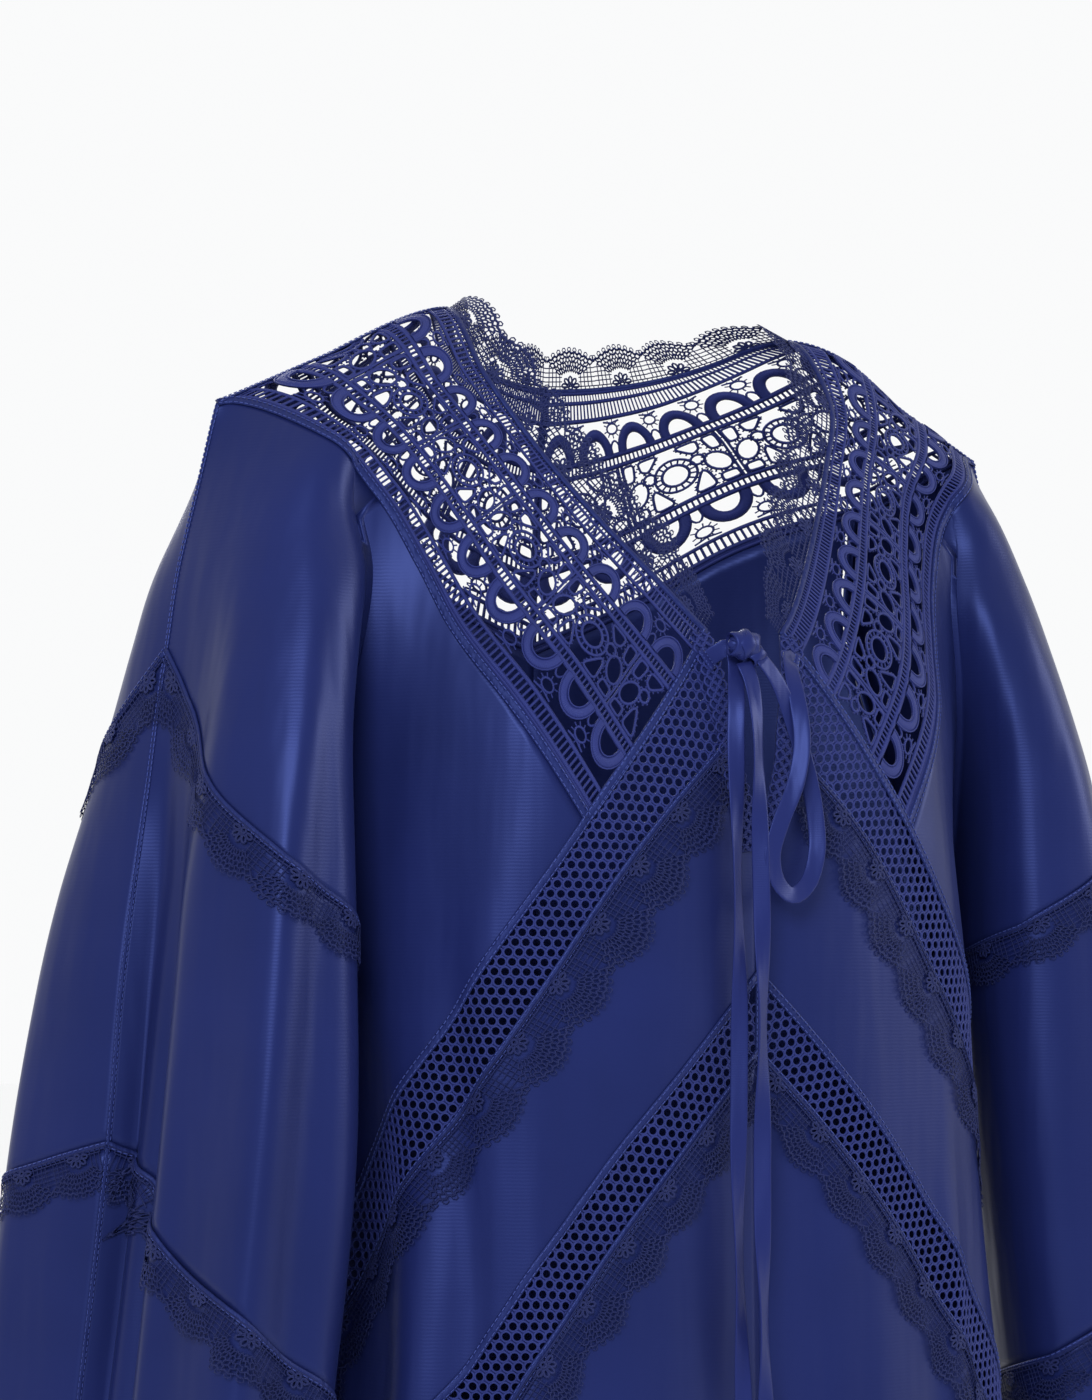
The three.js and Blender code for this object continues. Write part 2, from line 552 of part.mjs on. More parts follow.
function frontGrid(top, foot, shares) {
  return shares.map((_, i) => top.map((start, j) => {
    if (i === 0) return start;
    if (i === shares.length - 1) return foot[j];
    const place = shares.length > 3 ? rowPlace(shares, i, foot[j].depth - start.depth) : shares[i];
    const depth = lerp(start.depth, foot[j].depth, place);
    if (j === 0) return clothAtX(slitX(depth), depth);
    return bodySpot(j === top.length - 1 ? 1 : lerp(start.a, foot[j].a, place), depth);
  }));
}

// ---- edging ----------------------------------------------------------------------------------
const scallopDrop = (phase) => EDGING_DROP + SCALLOP_DEPTH * Math.abs(Math.sin(phase * Math.PI));

// A strip of scalloped edging caught in a seam: it hangs from one row of a panel's grid and lies
// on that panel, made from the panel's own points moved out.
const EDGING_STEP = 13;
function edging(name, grid, row, side) {
  const [top, foot] = [grid[row], grid[row + 1]];
  const lengths = top.slice(1).map((point, k) => point.p.distanceTo(top[k].p));
  const total = lengths.reduce((sum, length) => sum + length, 0);
  const scallops = Math.round(total / SCALLOP_PITCH);
  const places = lengths.flatMap((length, k) => {
    const steps = Math.max(1, Math.round(length / EDGING_STEP));
    return range(steps - 1, (step) => k + step / steps);
  });
  const strip = [...places, lengths.length].map((place) => {
    const k = Math.min(lengths.length - 1, Math.floor(place));
    const run = lengths.slice(0, k).reduce((sum, length) => sum + length, 0) + lengths[k] * (place - k);
    const [start, end] = [along(top, place), along(foot, place)];
    const reach = scallopDrop(run / total * scallops) / start.p.distanceTo(end.p);
    return [start, between(start, end, Math.min(0.98, reach))].map(({ p, n }) =>
      ({ p: p.clone().addScaledVector(n, EDGING_LIFT), n }));
  });
  return panel(name, strip, EDGING_WALL, edgingLace, side);
}

// Neckline edging stands on from the lace's inner edge towards the neck.
const NECK_SCALLOPS = { front: 7, back: 4 };
const NECK_RISE = 0.35;
const NECK_DEEPER = { front: 1.3, back: 1 };
const TIP_SHORTER = 0.5;
function neckEdging(name, face, sides) {
  const steps = LACE_CELLS[face] * 4;
  const strip = (side) => range(steps, (k) => {
    const cell = k / 4;
    const [before, after] = [Math.floor(cell * 2) / 2, Math.ceil(cell * 2) / 2];
    const seam = before === after ? bandPoint(face, cell, 0)
      : between(bandPoint(face, before, 0), bandPoint(face, after, 0), 0.5);
    const away = seam.p.clone().sub(bandPoint(face, cell, 12).p).normalize();
    away.z += NECK_RISE * (face === 'front' ? 1 - k / steps : 1);
    const phase = k / steps * NECK_SCALLOPS[face];
    const shorten = face === 'front' ? 1 - TIP_SHORTER * smooth((k / steps - 0.8) / 0.2) : 1;
    const tip = seam.p.clone().addScaledVector(away.normalize(), scallopDrop(phase) * NECK_DEEPER[face] * shorten);
    return [{ p: seam.p, n: seam.n }, { p: tip, n: seam.n }]
      .map(({ p, n }) => ({ p: new THREE.Vector3(p.x * side, p.y, p.z), n: new THREE.Vector3(n.x * side, n.y, n.z) }));
  });
  const grid = sides.length === 1 ? strip(sides[0]) : [...strip(1), ...strip(-1).reverse().slice(1)];
  return panel(name, grid, EDGING_WALL, edgingLace, 1);
}

// ---- the ribbon tie --------------------------------------------------------------------------
// Each ribbon is sewn on the net band beside the slit, or starts at the knot. The points after its
// root are chosen along its middle.
const TIE_ROOT = { x: 27, depth: 200 };
const TIE_RIGHT = [[-21, -128.6, -195], [-15.5, -132.6, -192], [-13.2, -133.5, -199], [-14.5, -136.5, -209],
  [-17.5, -141.5, -221], [-19.5, -144, -238], [-20, -145.5, -264], [-20, -146, -310], [-19, -146, -360],
  [-20, -146.5, -420], [-21, -147, -480], [-20, -148, -540], [-19, -149, -590], [-19, -150, -628]];
const TIE_LOOP = [[21.5, -131, -196], [18, -138, -203], [17, -145, -218], [17, -149.5, -240],
  [12, -151.5, -262], [2, -152.5, -283], [-3, -152.5, -300], [1, -152, -314], [10, -151, -320], [20, -149.5, -314],
  [27, -147.5, -297], [27, -145.5, -276], [23, -144, -254], [15, -143.8, -230], [6, -143.4, -210], [-3.2, -142.6, -198.2]];
const TIE_END = [[-12, -139.8, -200.3], [-9.5, -142.5, -209], [-9, -147, -226], [-9.2, -149.5, -256], [-9, -150.5, -300],
  [-8, -150.5, -350], [-8.5, -151, -410], [-9.5, -151.5, -470], [-9, -152, -530], [-8.5, -152.5, -580], [-8.5, -153, -610]];
const RIBBON_STEP = 14;
const ROOT_STRETCH = 22;
const FACING = new THREE.Vector3(0, -1, 0);

function tieRoot(side) {
  const { p, n } = clothAtX(TIE_ROOT.x, TIE_ROOT.depth);
  const root = p.addScaledVector(n, (NET_WALL + RIBBON_WALL) / 2 + SEAM_GAP);
  return { point: [root.x * side, root.y, root.z], facing: new THREE.Vector3(n.x * side, n.y, n.z) };
}

function ribbon(name, route, root) {
  const points = (root ? [root.point, ...route] : route).map((point) => new THREE.Vector3(...point));
  const line = new THREE.CatmullRomCurve3(points, false, 'centripetal');
  const length = line.getLength();
  const steps = Math.round(length / RIBBON_STEP);
  const strip = range(steps, (k) => {
    const p = line.getPointAt(k / steps);
    const ahead = line.getTangentAt(k / steps);
    const facing = root ? root.facing.clone().lerp(FACING, smooth(k / steps * length / ROOT_STRETCH)) : FACING;
    const across = ahead.clone().cross(facing).normalize();
    const n = across.clone().cross(ahead).normalize();
    return [-1, 1].map((edge) => ({ p: p.clone().addScaledVector(across, edge * RIBBON_WIDTH / 2), n }));
  });
  return panel(name, strip, RIBBON_WALL, ribbonSilk, 1);
}

function knot() {
  const geometry = new THREE.IcosahedronGeometry(1, 2);
  geometry.scale(...KNOT.radii);
  const mesh = new THREE.Mesh(geometry, ribbonSilk);
  mesh.name = 'tie_knot';
  mesh.position.set(...KNOT.centre);
  return mesh;
}

// ---- assembly --------------------------------------------------------------------------------
const kaftan = new THREE.Group();
const sideFront = sideFrontGrid();
const back = backGrid();
const netUpper = frontGrid(EDGES.netUpperTop, EDGES.netUpperFoot, [0, 0.5, 1]);
const centreFront = frontGrid(EDGES.netUpperFoot, EDGES.netLowerTop, [0, 0.25, 0.5, 0.75, 1]);
const netLower = frontGrid(EDGES.netLowerTop, EDGES.netLowerFoot, [0, 0.5, 1]);
const lowerFront = frontGrid(EDGES.netLowerFoot, EDGES.hem, [0, 0.05, 0.25, 0.5, 0.75, 1]);
const SIDE_NAMES = { 1: 'left', '-1': 'right' };

for (const side of [1, -1]) {
  const hand = SIDE_NAMES[side];
  kaftan.add(
    laceBand(`lace_band_front_${hand}`, 'front', side),
    laceBand(`lace_yoke_back_${hand}`, 'back', side),
    panel(`side_front_${hand}`, sideFront, SILK_WALL, silk, side),
    panel(`back_${hand}`, back, SILK_WALL, silk, side),
    panel(`net_band_upper_${hand}`, netUpper, NET_WALL, netting, side),
    panel(`centre_front_${hand}`, centreFront, SILK_WALL, silk, side),
    panel(`net_band_lower_${hand}`, netLower, NET_WALL, netting, side),
    edging(`edging_net_upper_${hand}`, centreFront, 0, side),
    edging(`edging_net_lower_${hand}`, lowerFront, 0, side),
    neckEdging(`edging_neck_front_${hand}`, 'front', [side]),
  );
  for (const [face, sign] of [['front', 1], ['back', -1]]) {
    const middle = sleeveGrid(sign, [0, 0.1, 0.4, 0.7, 1], (a) => tierDepth('upper', a), (a) => tierDepth('lower', a));
    const lower = sleeveGrid(sign, [0, 0.2, 0.6, 1], (a) => tierDepth('lower', a), () => CUFF);
    kaftan.add(
      panel(`sleeve_middle_${face}_${hand}`, middle, SILK_WALL, silk, side),
      panel(`sleeve_lower_${face}_${hand}`, lower, SILK_WALL, silk, side),
      edging(`edging_sleeve_upper_${face}_${hand}`, middle, 0, side),
      edging(`edging_sleeve_lower_${face}_${hand}`, lower, 0, side),
    );
  }
}
const mirrored = ({ p, n }) => ({ p: new THREE.Vector3(-p.x, p.y, p.z), n: new THREE.Vector3(-n.x, n.y, n.z) });
kaftan.add(
  panel('lower_front', lowerFront.map((row) => [...row.slice(1).reverse().map(mirrored), ...row]), SILK_WALL, silk, 1),
  neckEdging('edging_neck_back', 'back', [1, -1]),
  ribbon('tie_right', TIE_RIGHT, tieRoot(-1)),
  ribbon('tie_left_loop', TIE_LOOP, tieRoot(1)),
  ribbon('tie_left_end', TIE_END),
  knot(),
);

export default kaftan;
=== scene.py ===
"""A navy silk kaftan: lace shoulder bands, slanting net insertions, scalloped edgings, ribbon tie."""
import math

import bmesh
import bpy
import numpy as np
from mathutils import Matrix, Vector


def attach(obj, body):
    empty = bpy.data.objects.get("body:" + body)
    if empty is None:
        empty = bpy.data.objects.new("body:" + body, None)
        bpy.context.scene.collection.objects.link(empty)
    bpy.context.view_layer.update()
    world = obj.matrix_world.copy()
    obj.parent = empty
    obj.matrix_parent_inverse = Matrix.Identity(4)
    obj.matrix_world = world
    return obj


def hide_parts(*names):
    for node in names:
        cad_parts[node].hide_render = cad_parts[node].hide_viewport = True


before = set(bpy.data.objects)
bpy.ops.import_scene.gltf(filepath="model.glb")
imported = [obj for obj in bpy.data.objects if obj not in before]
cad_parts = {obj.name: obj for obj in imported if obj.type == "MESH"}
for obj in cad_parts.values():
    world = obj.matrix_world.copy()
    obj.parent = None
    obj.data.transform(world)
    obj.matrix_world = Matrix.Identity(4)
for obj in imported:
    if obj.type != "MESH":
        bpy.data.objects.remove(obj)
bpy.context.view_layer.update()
MM = 0.001


# ---- Silk ------------------------------------------------------------------------------------
# Silk satin, woven with long floats on the face and piece-dyed navy. It shines softly where it
# turns to the light and goes nearly black in its folds. Its threads are drawn ten times too wide,
# so that they show, and its puckers hang as long soft streaks.
SATIN = {"base": "#151c49", "deep": "#0e1437", "roughness": 0.38, "thread_mm": 0.9, "pucker_mm": 26}


def srgb(text):
    """A hex colour turned to linear light."""
    parts = [int(text[k : k + 2], 16) / 255 for k in (1, 3, 5)]
    linear = [c / 12.92 if c <= 0.04045 else ((c + 0.055) / 1.055) ** 2.4 for c in parts]
    return (*linear, 1.0)


def add_node(tree, kind, links=(), **values):
    """Adds a node with its settings, the values of its own sockets, and its links."""
    made = tree.nodes.new(kind)
    for key, value in values.items():
        if key in made.bl_rna.properties:
            setattr(made, key, value)
        else:
            made.inputs[key.replace("_", " ")].default_value = value
    for socket, source in links:
        tree.links.new(source, made.inputs[socket])
    return made


def new_material(name):
    material = bpy.data.materials.new(name)
    material.use_nodes = True
    material.node_tree.nodes.clear()
    return material, material.node_tree


def satin(name, colours):
    material, tree = new_material(name)
    place = add_node(tree, "ShaderNodeTexCoord").outputs["Object"]
    # the dye takes a little unevenly
    cloud = add_node(tree, "ShaderNodeTexNoise", [("Vector", place)], Scale=9.0, Detail=3.0)
    tone = add_node(tree, "ShaderNodeMix", [(0, cloud.outputs["Fac"])], data_type="RGBA")
    tone.inputs[6].default_value = srgb(colours["deep"])
    tone.inputs[7].default_value = srgb(colours["base"])
    # a wave's ridge and gap are two threads
    thread = add_node(tree, "ShaderNodeTexWave", [("Vector", place)], Distortion=2.0,
                      bands_direction="Z", Scale=1 / (colours["thread_mm"] * 6.3 * MM))
    hanging = add_node(tree, "ShaderNodeMapping", [("Vector", place)], Scale=(1.0, 1.0, 0.16))
    pucker = add_node(tree, "ShaderNodeTexNoise", [("Vector", hanging.outputs["Vector"])],
                      Scale=1 / (colours["pucker_mm"] * MM), Detail=2.0)
    soft = add_node(tree, "ShaderNodeBump", [("Height", pucker.outputs["Fac"])],
                    Strength=0.42, Distance=0.004)
    weave = add_node(tree, "ShaderNodeBump",
                     [("Height", thread.outputs["Fac"]), ("Normal", soft.outputs["Normal"])],
                     Strength=0.06, Distance=0.0003)
    skin = add_node(tree, "ShaderNodeBsdfPrincipled",
                    [("Base Color", tone.outputs[2]), ("Normal", weave.outputs["Normal"])],
                    Roughness=colours["roughness"])
    skin.inputs["Specular IOR Level"].default_value = 0.32
    skin.inputs["Specular Tint"].default_value = srgb("#7f95f4")
    skin.inputs["Sheen Weight"].default_value = 0.04
    skin.inputs["Sheen Roughness"].default_value = 0.4
    skin.inputs["Sheen Tint"].default_value = srgb("#5161a8")
    add_node(tree, "ShaderNodeOutputMaterial", [("Surface", skin.outputs["BSDF"])])
    return material


silk_satin = satin("silk satin, piece-dyed navy", SATIN)

# ---- The worn form ---------------------------------------------------------------------------
# The cloth hangs from the shoulders over a general figure: level sections, half the garment, in
# mm. Each row gives x and y of the lines that run down it.
NECK_X = 109
SHOULDER_SLOPE = 0.481
SLOPE_FADE = (60, 450)  # depths between which the shoulders' slope dies out
UNDERARM = 345
HEM = 1330
CUFF = 680

# depth, centre x y, chest x y, flank x y, side x y
BODY_FRONT = [
    (40, 0, -34, 60, -34, 118, -36, 180, -36),
    (83, 0, -60, 60, -60, 118, -58, 184, -44),
    (125, 0, -88, 62, -86, 118, -78, 180, -50),
    (169, 0, -114, 62, -111, 120, -97, 185, -47),
    (211, 0, -128, 64, -126, 126, -109, 192, -36),
    (280, 0, -133, 66, -134, 135, -107, 198, -18),
    (345, 0, -133, 70, -135, 144, -102, 200, -1),
    (460, 0, -131, 75, -135, 148, -103, 197, 0),
    (700, 0, -135, 88, -141, 165, -111, 220, 0),
    (1000, 0, -145, 105, -151, 198, -121, 272, 0),
    (1330, 0, -155, 125, -162, 232, -131, 325, 0),
]
BODY_SHOULDER = (0, 0, 80, 60, 50, 120, 1, 178, 6)
BODY_BACK = [
    (40, 0, 95, 60, 78, 118, 46, 180, 46),
    (83, 0, 102, 62, 96, 120, 74, 182, 58),
    (125, 0, 106, 64, 103, 122, 84, 180, 58),
    (169, 0, 108, 66, 106, 125, 88, 185, 50),
    (211, 0, 109, 68, 107, 128, 89, 192, 38),
    (280, 0, 108, 70, 107, 136, 86, 198, 20),
    (345, 0, 104, 72, 104, 144, 80, 200, 1),
    (460, 0, 98, 76, 100, 146, 76, 197, 0),
    (700, 0, 108, 88, 112, 165, 87, 220, 0),
    (1000, 0, 128, 105, 134, 198, 105, 272, 0),
    (1330, 0, 150, 125, 157, 232, 126, 325, 0),
]
# depth, side x y, inner x y, crest x y, edge x y, fold x y, overarm seam x y
SLEEVE_FRONT = [
    (40, 184, -36, 198, -39, 213, -36, 228, -25, 241, -8, 251, 11),
    (83, 188, -44, 202, -54, 223, -55, 243, -37, 254, -13, 262, 10),
    (125, 184, -50, 199, -66, 226, -70, 252, -47, 259, -17, 268, 9),
    (169, 189, -47, 203, -72, 234, -80, 262, -53, 264, -17, 274, 8),
    (211, 196, -36, 207, -74, 242, -87, 271, -55, 267, -15, 279, 7),
    (280, 202, -18, 209, -71, 252, -92, 281, -52, 268, -12, 288, 5),
    (345, 204, -1, 212, -68, 258, -95, 287, -53, 272, -12, 295, 3),
    (460, 214, 0, 220, -66, 268, -98, 297, -55, 281, -14, 304, 0),
    (680, 240, 0, 246, -64, 290, -98, 322, -58, 306, -16, 330, 0),
]
SLEEVE_SHOULDER = (0, 182, 6, 194, 8, 208, 9, 221, 10, 232, 11, 240, 12)
SLEEVE_BACK = [
    (40, 184, 46, 196, 48, 214, 45, 232, 37, 246, 26, 251, 11),
    (83, 186, 58, 198, 72, 222, 77, 250, 58, 265, 34, 262, 10),
    (125, 184, 58, 197, 78, 224, 88, 257, 68, 275, 38, 268, 9),
    (169, 189, 50, 202, 80, 230, 94, 265, 76, 283, 42, 274, 8),
    (211, 196, 38, 207, 80, 236, 98, 272, 82, 292, 44, 279, 7),
    (280, 202, 20, 212, 77, 243, 101, 284, 86, 307, 46, 288, 5),
    (345, 204, 1, 214, 73, 248, 101, 290, 87, 317, 46, 295, 3),
    (460, 214, 0, 223, 69, 258, 99, 300, 87, 329, 46, 304, 0),
    (680, 240, 0, 248, 66, 280, 97, 324, 85, 352, 44, 330, 0),
]

# Folds, large first: part, face (front 1, back -1), place across at top and foot, depth from and
# to, half width across, height at the foot in mm (a trough is negative), side (left 1, right -1,
# both 0).
FOLDS = [
    ("body", 1, 0.62, 0.70, 190, 520, 0.11, 7, 0),
    ("body", 1, 0.80, 0.84, 250, 600, 0.07, -6, 0),
    ("body", 1, 0.30, 0.26, 420, 1330, 0.13, 17, 0),
    ("body", 1, 0.50, 0.48, 480, 1330, 0.09, -12, 0),
    ("body", 1, 0.72, 0.70, 440, 1330, 0.12, 20, 0),
    ("body", 1, 0.10, 0.08, 620, 1330, 0.08, -12, 0),
    ("body", -1, 0.16, 0.14, 300, 1330, 0.11, 18, 0),
    ("body", -1, 0.38, 0.36, 360, 1330, 0.10, -14, 0),
    ("body", -1, 0.60, 0.60, 260, 1330, 0.12, 20, 0),
    ("body", -1, 0.82, 0.80, 420, 1330, 0.08, -10, 0),
    ("sleeve", 1, 0.21, 0.21, 110, 680, 0.12, 27, 0),
    ("sleeve", 1, 0.50, 0.52, 170, 680, 0.08, -9, 0),
    ("sleeve", -1, 0.45, 0.50, 150, 680, 0.12, -7, 0),
    # finer creases, of the silk alone
    ("sleeve", 1, 0.80, 0.86, 70, 640, 0.055, 7, 1),
    ("sleeve", 1, 0.80, 0.84, 60, 720, 0.060, 9, -1),
    ("sleeve", 1, 0.66, 0.66, 130, 600, 0.050, -8, 1),
    ("sleeve", 1, 0.68, 0.70, 90, 680, 0.050, -9, -1),
    ("sleeve", 1, 0.36, 0.40, 90, 560, 0.050, 6, -1),
    ("sleeve", 1, 0.40, 0.38, 180, 680, 0.050, 7, 1),
    ("sleeve", 1, 0.29, 0.30, 120, 640, 0.035, -5, -1),
    ("sleeve", 1, 0.92, 0.94, 160, 680, 0.030, -5, -1),
    ("sleeve", -1, 0.78, 0.80, 70, 660, 0.055, 8, 1),
    ("sleeve", -1, 0.74, 0.80, 90, 680, 0.055, 9, -1),
    ("sleeve", -1, 0.62, 0.62, 110, 620, 0.050, -8, 0),
    ("sleeve", -1, 0.28, 0.30, 150, 700, 0.060, 9, 0),
    ("sleeve", -1, 0.14, 0.18, 180, 680, 0.050, -8, 0),
    ("body", 1, 0.93, 0.90, 200, 700, 0.050, -8, 0),
    ("body", 1, 0.86, 0.76, 210, 560, 0.050, 8, -1),
    ("body", 1, 0.86, 0.82, 240, 640, 0.045, 7, 1),
    ("body", 1, 0.74, 0.66, 250, 520, 0.040, -6, -1),
    ("body", 1, 0.56, 0.50, 300, 700, 0.045, 5, 0),
    ("body", 1, 0.20, 0.16, 440, 1330, 0.055, 9, -1),
    ("body", 1, 0.22, 0.20, 560, 1330, 0.060, 10, 1),
    ("body", 1, 0.40, 0.38, 480, 1330, 0.055, -9, -1),
    ("body", 1, 0.40, 0.38, 600, 1330, 0.055, -12, 1),
    ("body", 1, 0.60, 0.61, 520, 1330, 0.055, 12, 0),
    ("body", 1, 0.84, 0.86, 500, 1330, 0.060, -16, 0),
    ("body", -1, 0.28, 0.26, 210, 1330, 0.060, -10, 0),
    ("body", -1, 0.07, 0.05, 260, 1330, 0.050, -6, 1),
    ("body", -1, 0.06, 0.08, 340, 1330, 0.055, -8, -1),
    ("body", -1, 0.48, 0.50, 230, 1330, 0.055, 10, 0),
    ("body", -1, 0.72, 0.70, 180, 1330, 0.060, -12, 0),
    ("body", -1, 0.92, 0.90, 220, 1330, 0.050, 9, 0),
]


def smooth(t):
    t = np.clip(t, 0, 1)
    return t * t * (3 - 2 * t)


def unit(vectors):
    return vectors / np.maximum(1e-9, np.linalg.norm(vectors, axis=-1))[..., None]


def section_stack(front, shoulder, back):
    """All sections of a part in one stack from the back's foot over the shoulder to the front's,
    with a depth that is negative behind the shoulder."""
    table = [(-row[0], *row[1:]) for row in reversed(back)] + [shoulder] + list(front)
    depths = np.array([row[0] for row in table], float)
    spots = np.array([row[1:] for row in table], float).reshape(len(table), -1, 2)
    fade = 1 - np.clip((np.abs(depths) - SLOPE_FADE[0]) / (SLOPE_FADE[1] - SLOPE_FADE[0]), 0, 1)
    drop = SHOULDER_SLOPE * np.maximum(0, spots[..., 0] - NECK_X) * fade[:, None]
    height = -np.abs(depths)[:, None] - drop
    return depths, np.dstack([spots, height])


# depths, points, and the line that turns a corner at the underarm
STACKS = {
    "body": (*section_stack(BODY_FRONT, BODY_SHOULDER, BODY_BACK), 3),
    "sleeve": (*section_stack(SLEEVE_FRONT, SLEEVE_SHOULDER, SLEEVE_BACK), 0),
}


def hermite(p0, m0, p1, m1, t):
    t2, t3 = t * t, t * t * t
    return p0 * (2 * t3 - 3 * t2 + 1) + m0 * (t3 - 2 * t2 + t) + p1 * (3 * t2 - 2 * t3) + m1 * (t3 - t2)


def section_at(part, depth):
    """The named lines' points at each depth; the side line turns a corner at the underarm."""
    depths, spots, side_line = STACKS[part]
    chord = np.diff(spots, axis=0) / np.diff(depths)[:, None, None]
    middle = (spots[2:] - spots[:-2]) / (depths[2:] - depths[:-2])[:, None, None]
    start = np.concatenate([chord[:1], middle])
    end = np.concatenate([middle, chord[-1:]])
    for k in np.flatnonzero(np.abs(depths) == UNDERARM):
        start[k, side_line] = chord[k, side_line]
        end[k - 1, side_line] = chord[k - 1, side_line]
    k = np.clip(np.searchsorted(depths, depth, side="right") - 1, 0, len(depths) - 2)
    span = (depths[k + 1] - depths[k])[:, None, None]
    t = ((depth - depths[k]) / span[:, 0, 0])[:, None, None]
    return hermite(spots[k], start[k] * span, spots[k + 1], end[k] * span, t)


def fold_height(part, a, depth, side):
    """How far folds lift the cloth. Each grows towards its foot and dies out at the side seam."""
    total = np.zeros_like(a)
    for piece, face, top, foot, start, end, width, height, hand in FOLDS:
        if piece != part or hand not in (0, side):
            continue
        run = np.clip((np.abs(depth) - start) / (end - start), 0, 1)
        away = (a - (top + (foot - top) * run)) / width
        swell = height * smooth(run * 1.4) * np.exp(-away * away) * smooth((1 - a) / 0.1)
        total += np.where(face * depth > start, swell, 0)
    return total


def cloth(part, a, depth, side=0, folded=True):
    """Points of the cloth, in mm, on the left half; a runs 0 to 1 from centre to side, or from
    the side to the overarm seam, and a negative depth is on the back."""
    a, depth = [np.asarray(v, float) for v in np.broadcast_arrays(a, depth)]
    shape = a.shape
    a, depth = a.ravel(), depth.ravel()
    lines = section_at(part, depth)
    last = lines.shape[1] - 1
    chord = np.diff(lines, axis=1)
    middle = (lines[:, 2:] - lines[:, :-2]) / 2
    tangent = np.concatenate([
        1.5 * chord[:, :1] - 0.5 * middle[:, :1], middle, 1.5 * chord[:, -1:] - 0.5 * middle[:, -1:]
    ], axis=1)
    k = np.clip(np.floor(a * last).astype(int), 0, last - 1)
    row = np.arange(len(a))
    share = (a * last - k)[:, None]
    spot = hermite(lines[row, k], tangent[row, k], lines[row, k + 1], tangent[row, k + 1], share)
    if not folded:
        return spot.reshape(*shape, 3)
    axis_x = 0 if part == "body" else (lines[:, 0, 0] + lines[:, -1, 0]) / 2
    outward = unit(np.stack([spot[:, 0] - axis_x, spot[:, 1]], axis=1))
    spot[:, :2] += outward * fold_height(part, a, depth, side)[:, None]
    return spot.reshape(*shape, 3)


HALVINGS = 22


def across_at(part, x, depth, side=0):
    """How far across the cloth lies at a distance x from the centre, found by halving."""
    x, depth = [np.asarray(v, float) for v in np.broadcast_arrays(x, depth)]
    low, high = np.zeros_like(x), np.ones_like(x)
    for _ in range(HALVINGS):
        middle = (low + high) / 2
        inside = cloth(part, middle, depth, side, folded=False)[..., 0] < x
        low, high = np.where(inside, middle, low), np.where(inside, high, middle)
    return (low + high) / 2


def cloth_at(x, depth, side=0):
    """Cloth at a distance x from the centre, over the body, the narrow floor beside it and the arm."""
    x, depth = [np.asarray(v, float) for v in np.broadcast_arrays(x, depth)]
    arm_depth = np.clip(depth, -CUFF, CUFF)
    body_side = cloth("body", 1.0, depth, side)
    sleeve_side = cloth("sleeve", 0.0, arm_depth, side)
    body = cloth("body", across_at("body", x, depth, side), depth, side)
    sleeve = cloth("sleeve", across_at("sleeve", x, depth, side), arm_depth, side)
    t = np.clip((x - body_side[..., 0]) / (sleeve_side[..., 0] - body_side[..., 0]), 0, 1)[..., None]
    floor = body_side * (1 - t) + sleeve_side * t
    on_body = (x <= body_side[..., 0])[..., None]
    on_floor = (x <= sleeve_side[..., 0])[..., None]
    return np.where(on_body, body, np.where(on_floor, floor, sleeve))


# ---- Silk panels -----------------------------------------------------------------------------
# Side fronts and backs are cut in one with the upper sleeves; centre fronts, lower front and the
# two sleeve tiers are sewn on. Thin shells with a turned edge's thickness.
SILK_THICK = 0.9
WELD_REACH = 0.00002  # metres
LACE_WIDTH = 135
# The lace's two edges on the front (1) and back (-1), as distance from the centre and depth.
NECK_EDGE = {
    1: [(NECK_X, 0), (109, 41), (91, 83), (66, 125), (37, 167), (23, 184)],
    -1: [(NECK_X, 0), (86, -16), (58, -24), (28, -28), (0, -29)],
}
LACE_OUTER = {
    1: [(240, 0), (200, 40), (175, 84), (159, 131), (147, 175), (130, 217), (97, 280)],
    -1: [(240, 0), (212, -32), (172, -68), (118, -112), (60, -152), (0, -178)],
}
SLEEVE_PLACES = (0, 0.2, 0.3, 0.4, 0.5, 0.6, 0.7, 0.8, 0.9, 1)
# Where the shoulder panels start along the lace's outer edge, as a share of it.
SLEEVE_STARTS = {
    1: np.array((6.74, 6, 5, 4, 3, 2, 1.5, 1, 0.5, 0)) / 20,
    -1: np.array((3.8, 3.4, 3, 2.5, 2, 1.5, 1, 0.7, 0.35, 0)) / 14,
}
BODY_START = {1: 7 / 20, -1: 4 / 14}
# Depths of the sleeve's two seams, in even steps from the side to the overarm seam.
TIERS = {"upper": (345, 318, 270, 218, 172, 131), "lower": (595, 570, 528, 490, 462, 444)}
# The slit's corner at the V, its corner at the net's lower edge, and the depth where it closes.
SLIT = ((23, 184), (13, 238), 300)
# The front's edges, from the centre out, and the depth where each meets the side seam.
FRONT_CHART = {
    "upper_top": ([(23, 184), (60, 232), (97, 280), (142, 352), (174, 432)], 530),
    "upper_foot": ([(13, 238), (50, 274), (82, 312), (118, 366), (151, 428), (176, 488), (196, 546)], 580),
    "lower_top": ([(0, 360), (40, 402), (85, 452), (128, 512), (166, 580), (195, 640)], 690),
    "lower_foot": ([(0, 400), (40, 442), (84, 494), (126, 555), (165, 625), (198, 692)], 745),
    "hem": ([(0, HEM), (160, HEM)], HEM),
}
FRONT_EDGES = {
    name: [*points, (float(cloth("body", 1.0, depth)[0]), depth)]
    for name, (points, depth) in FRONT_CHART.items()
}
LACE_CORNER = 2  # the point of upper_top where the lace's outer edge meets the net
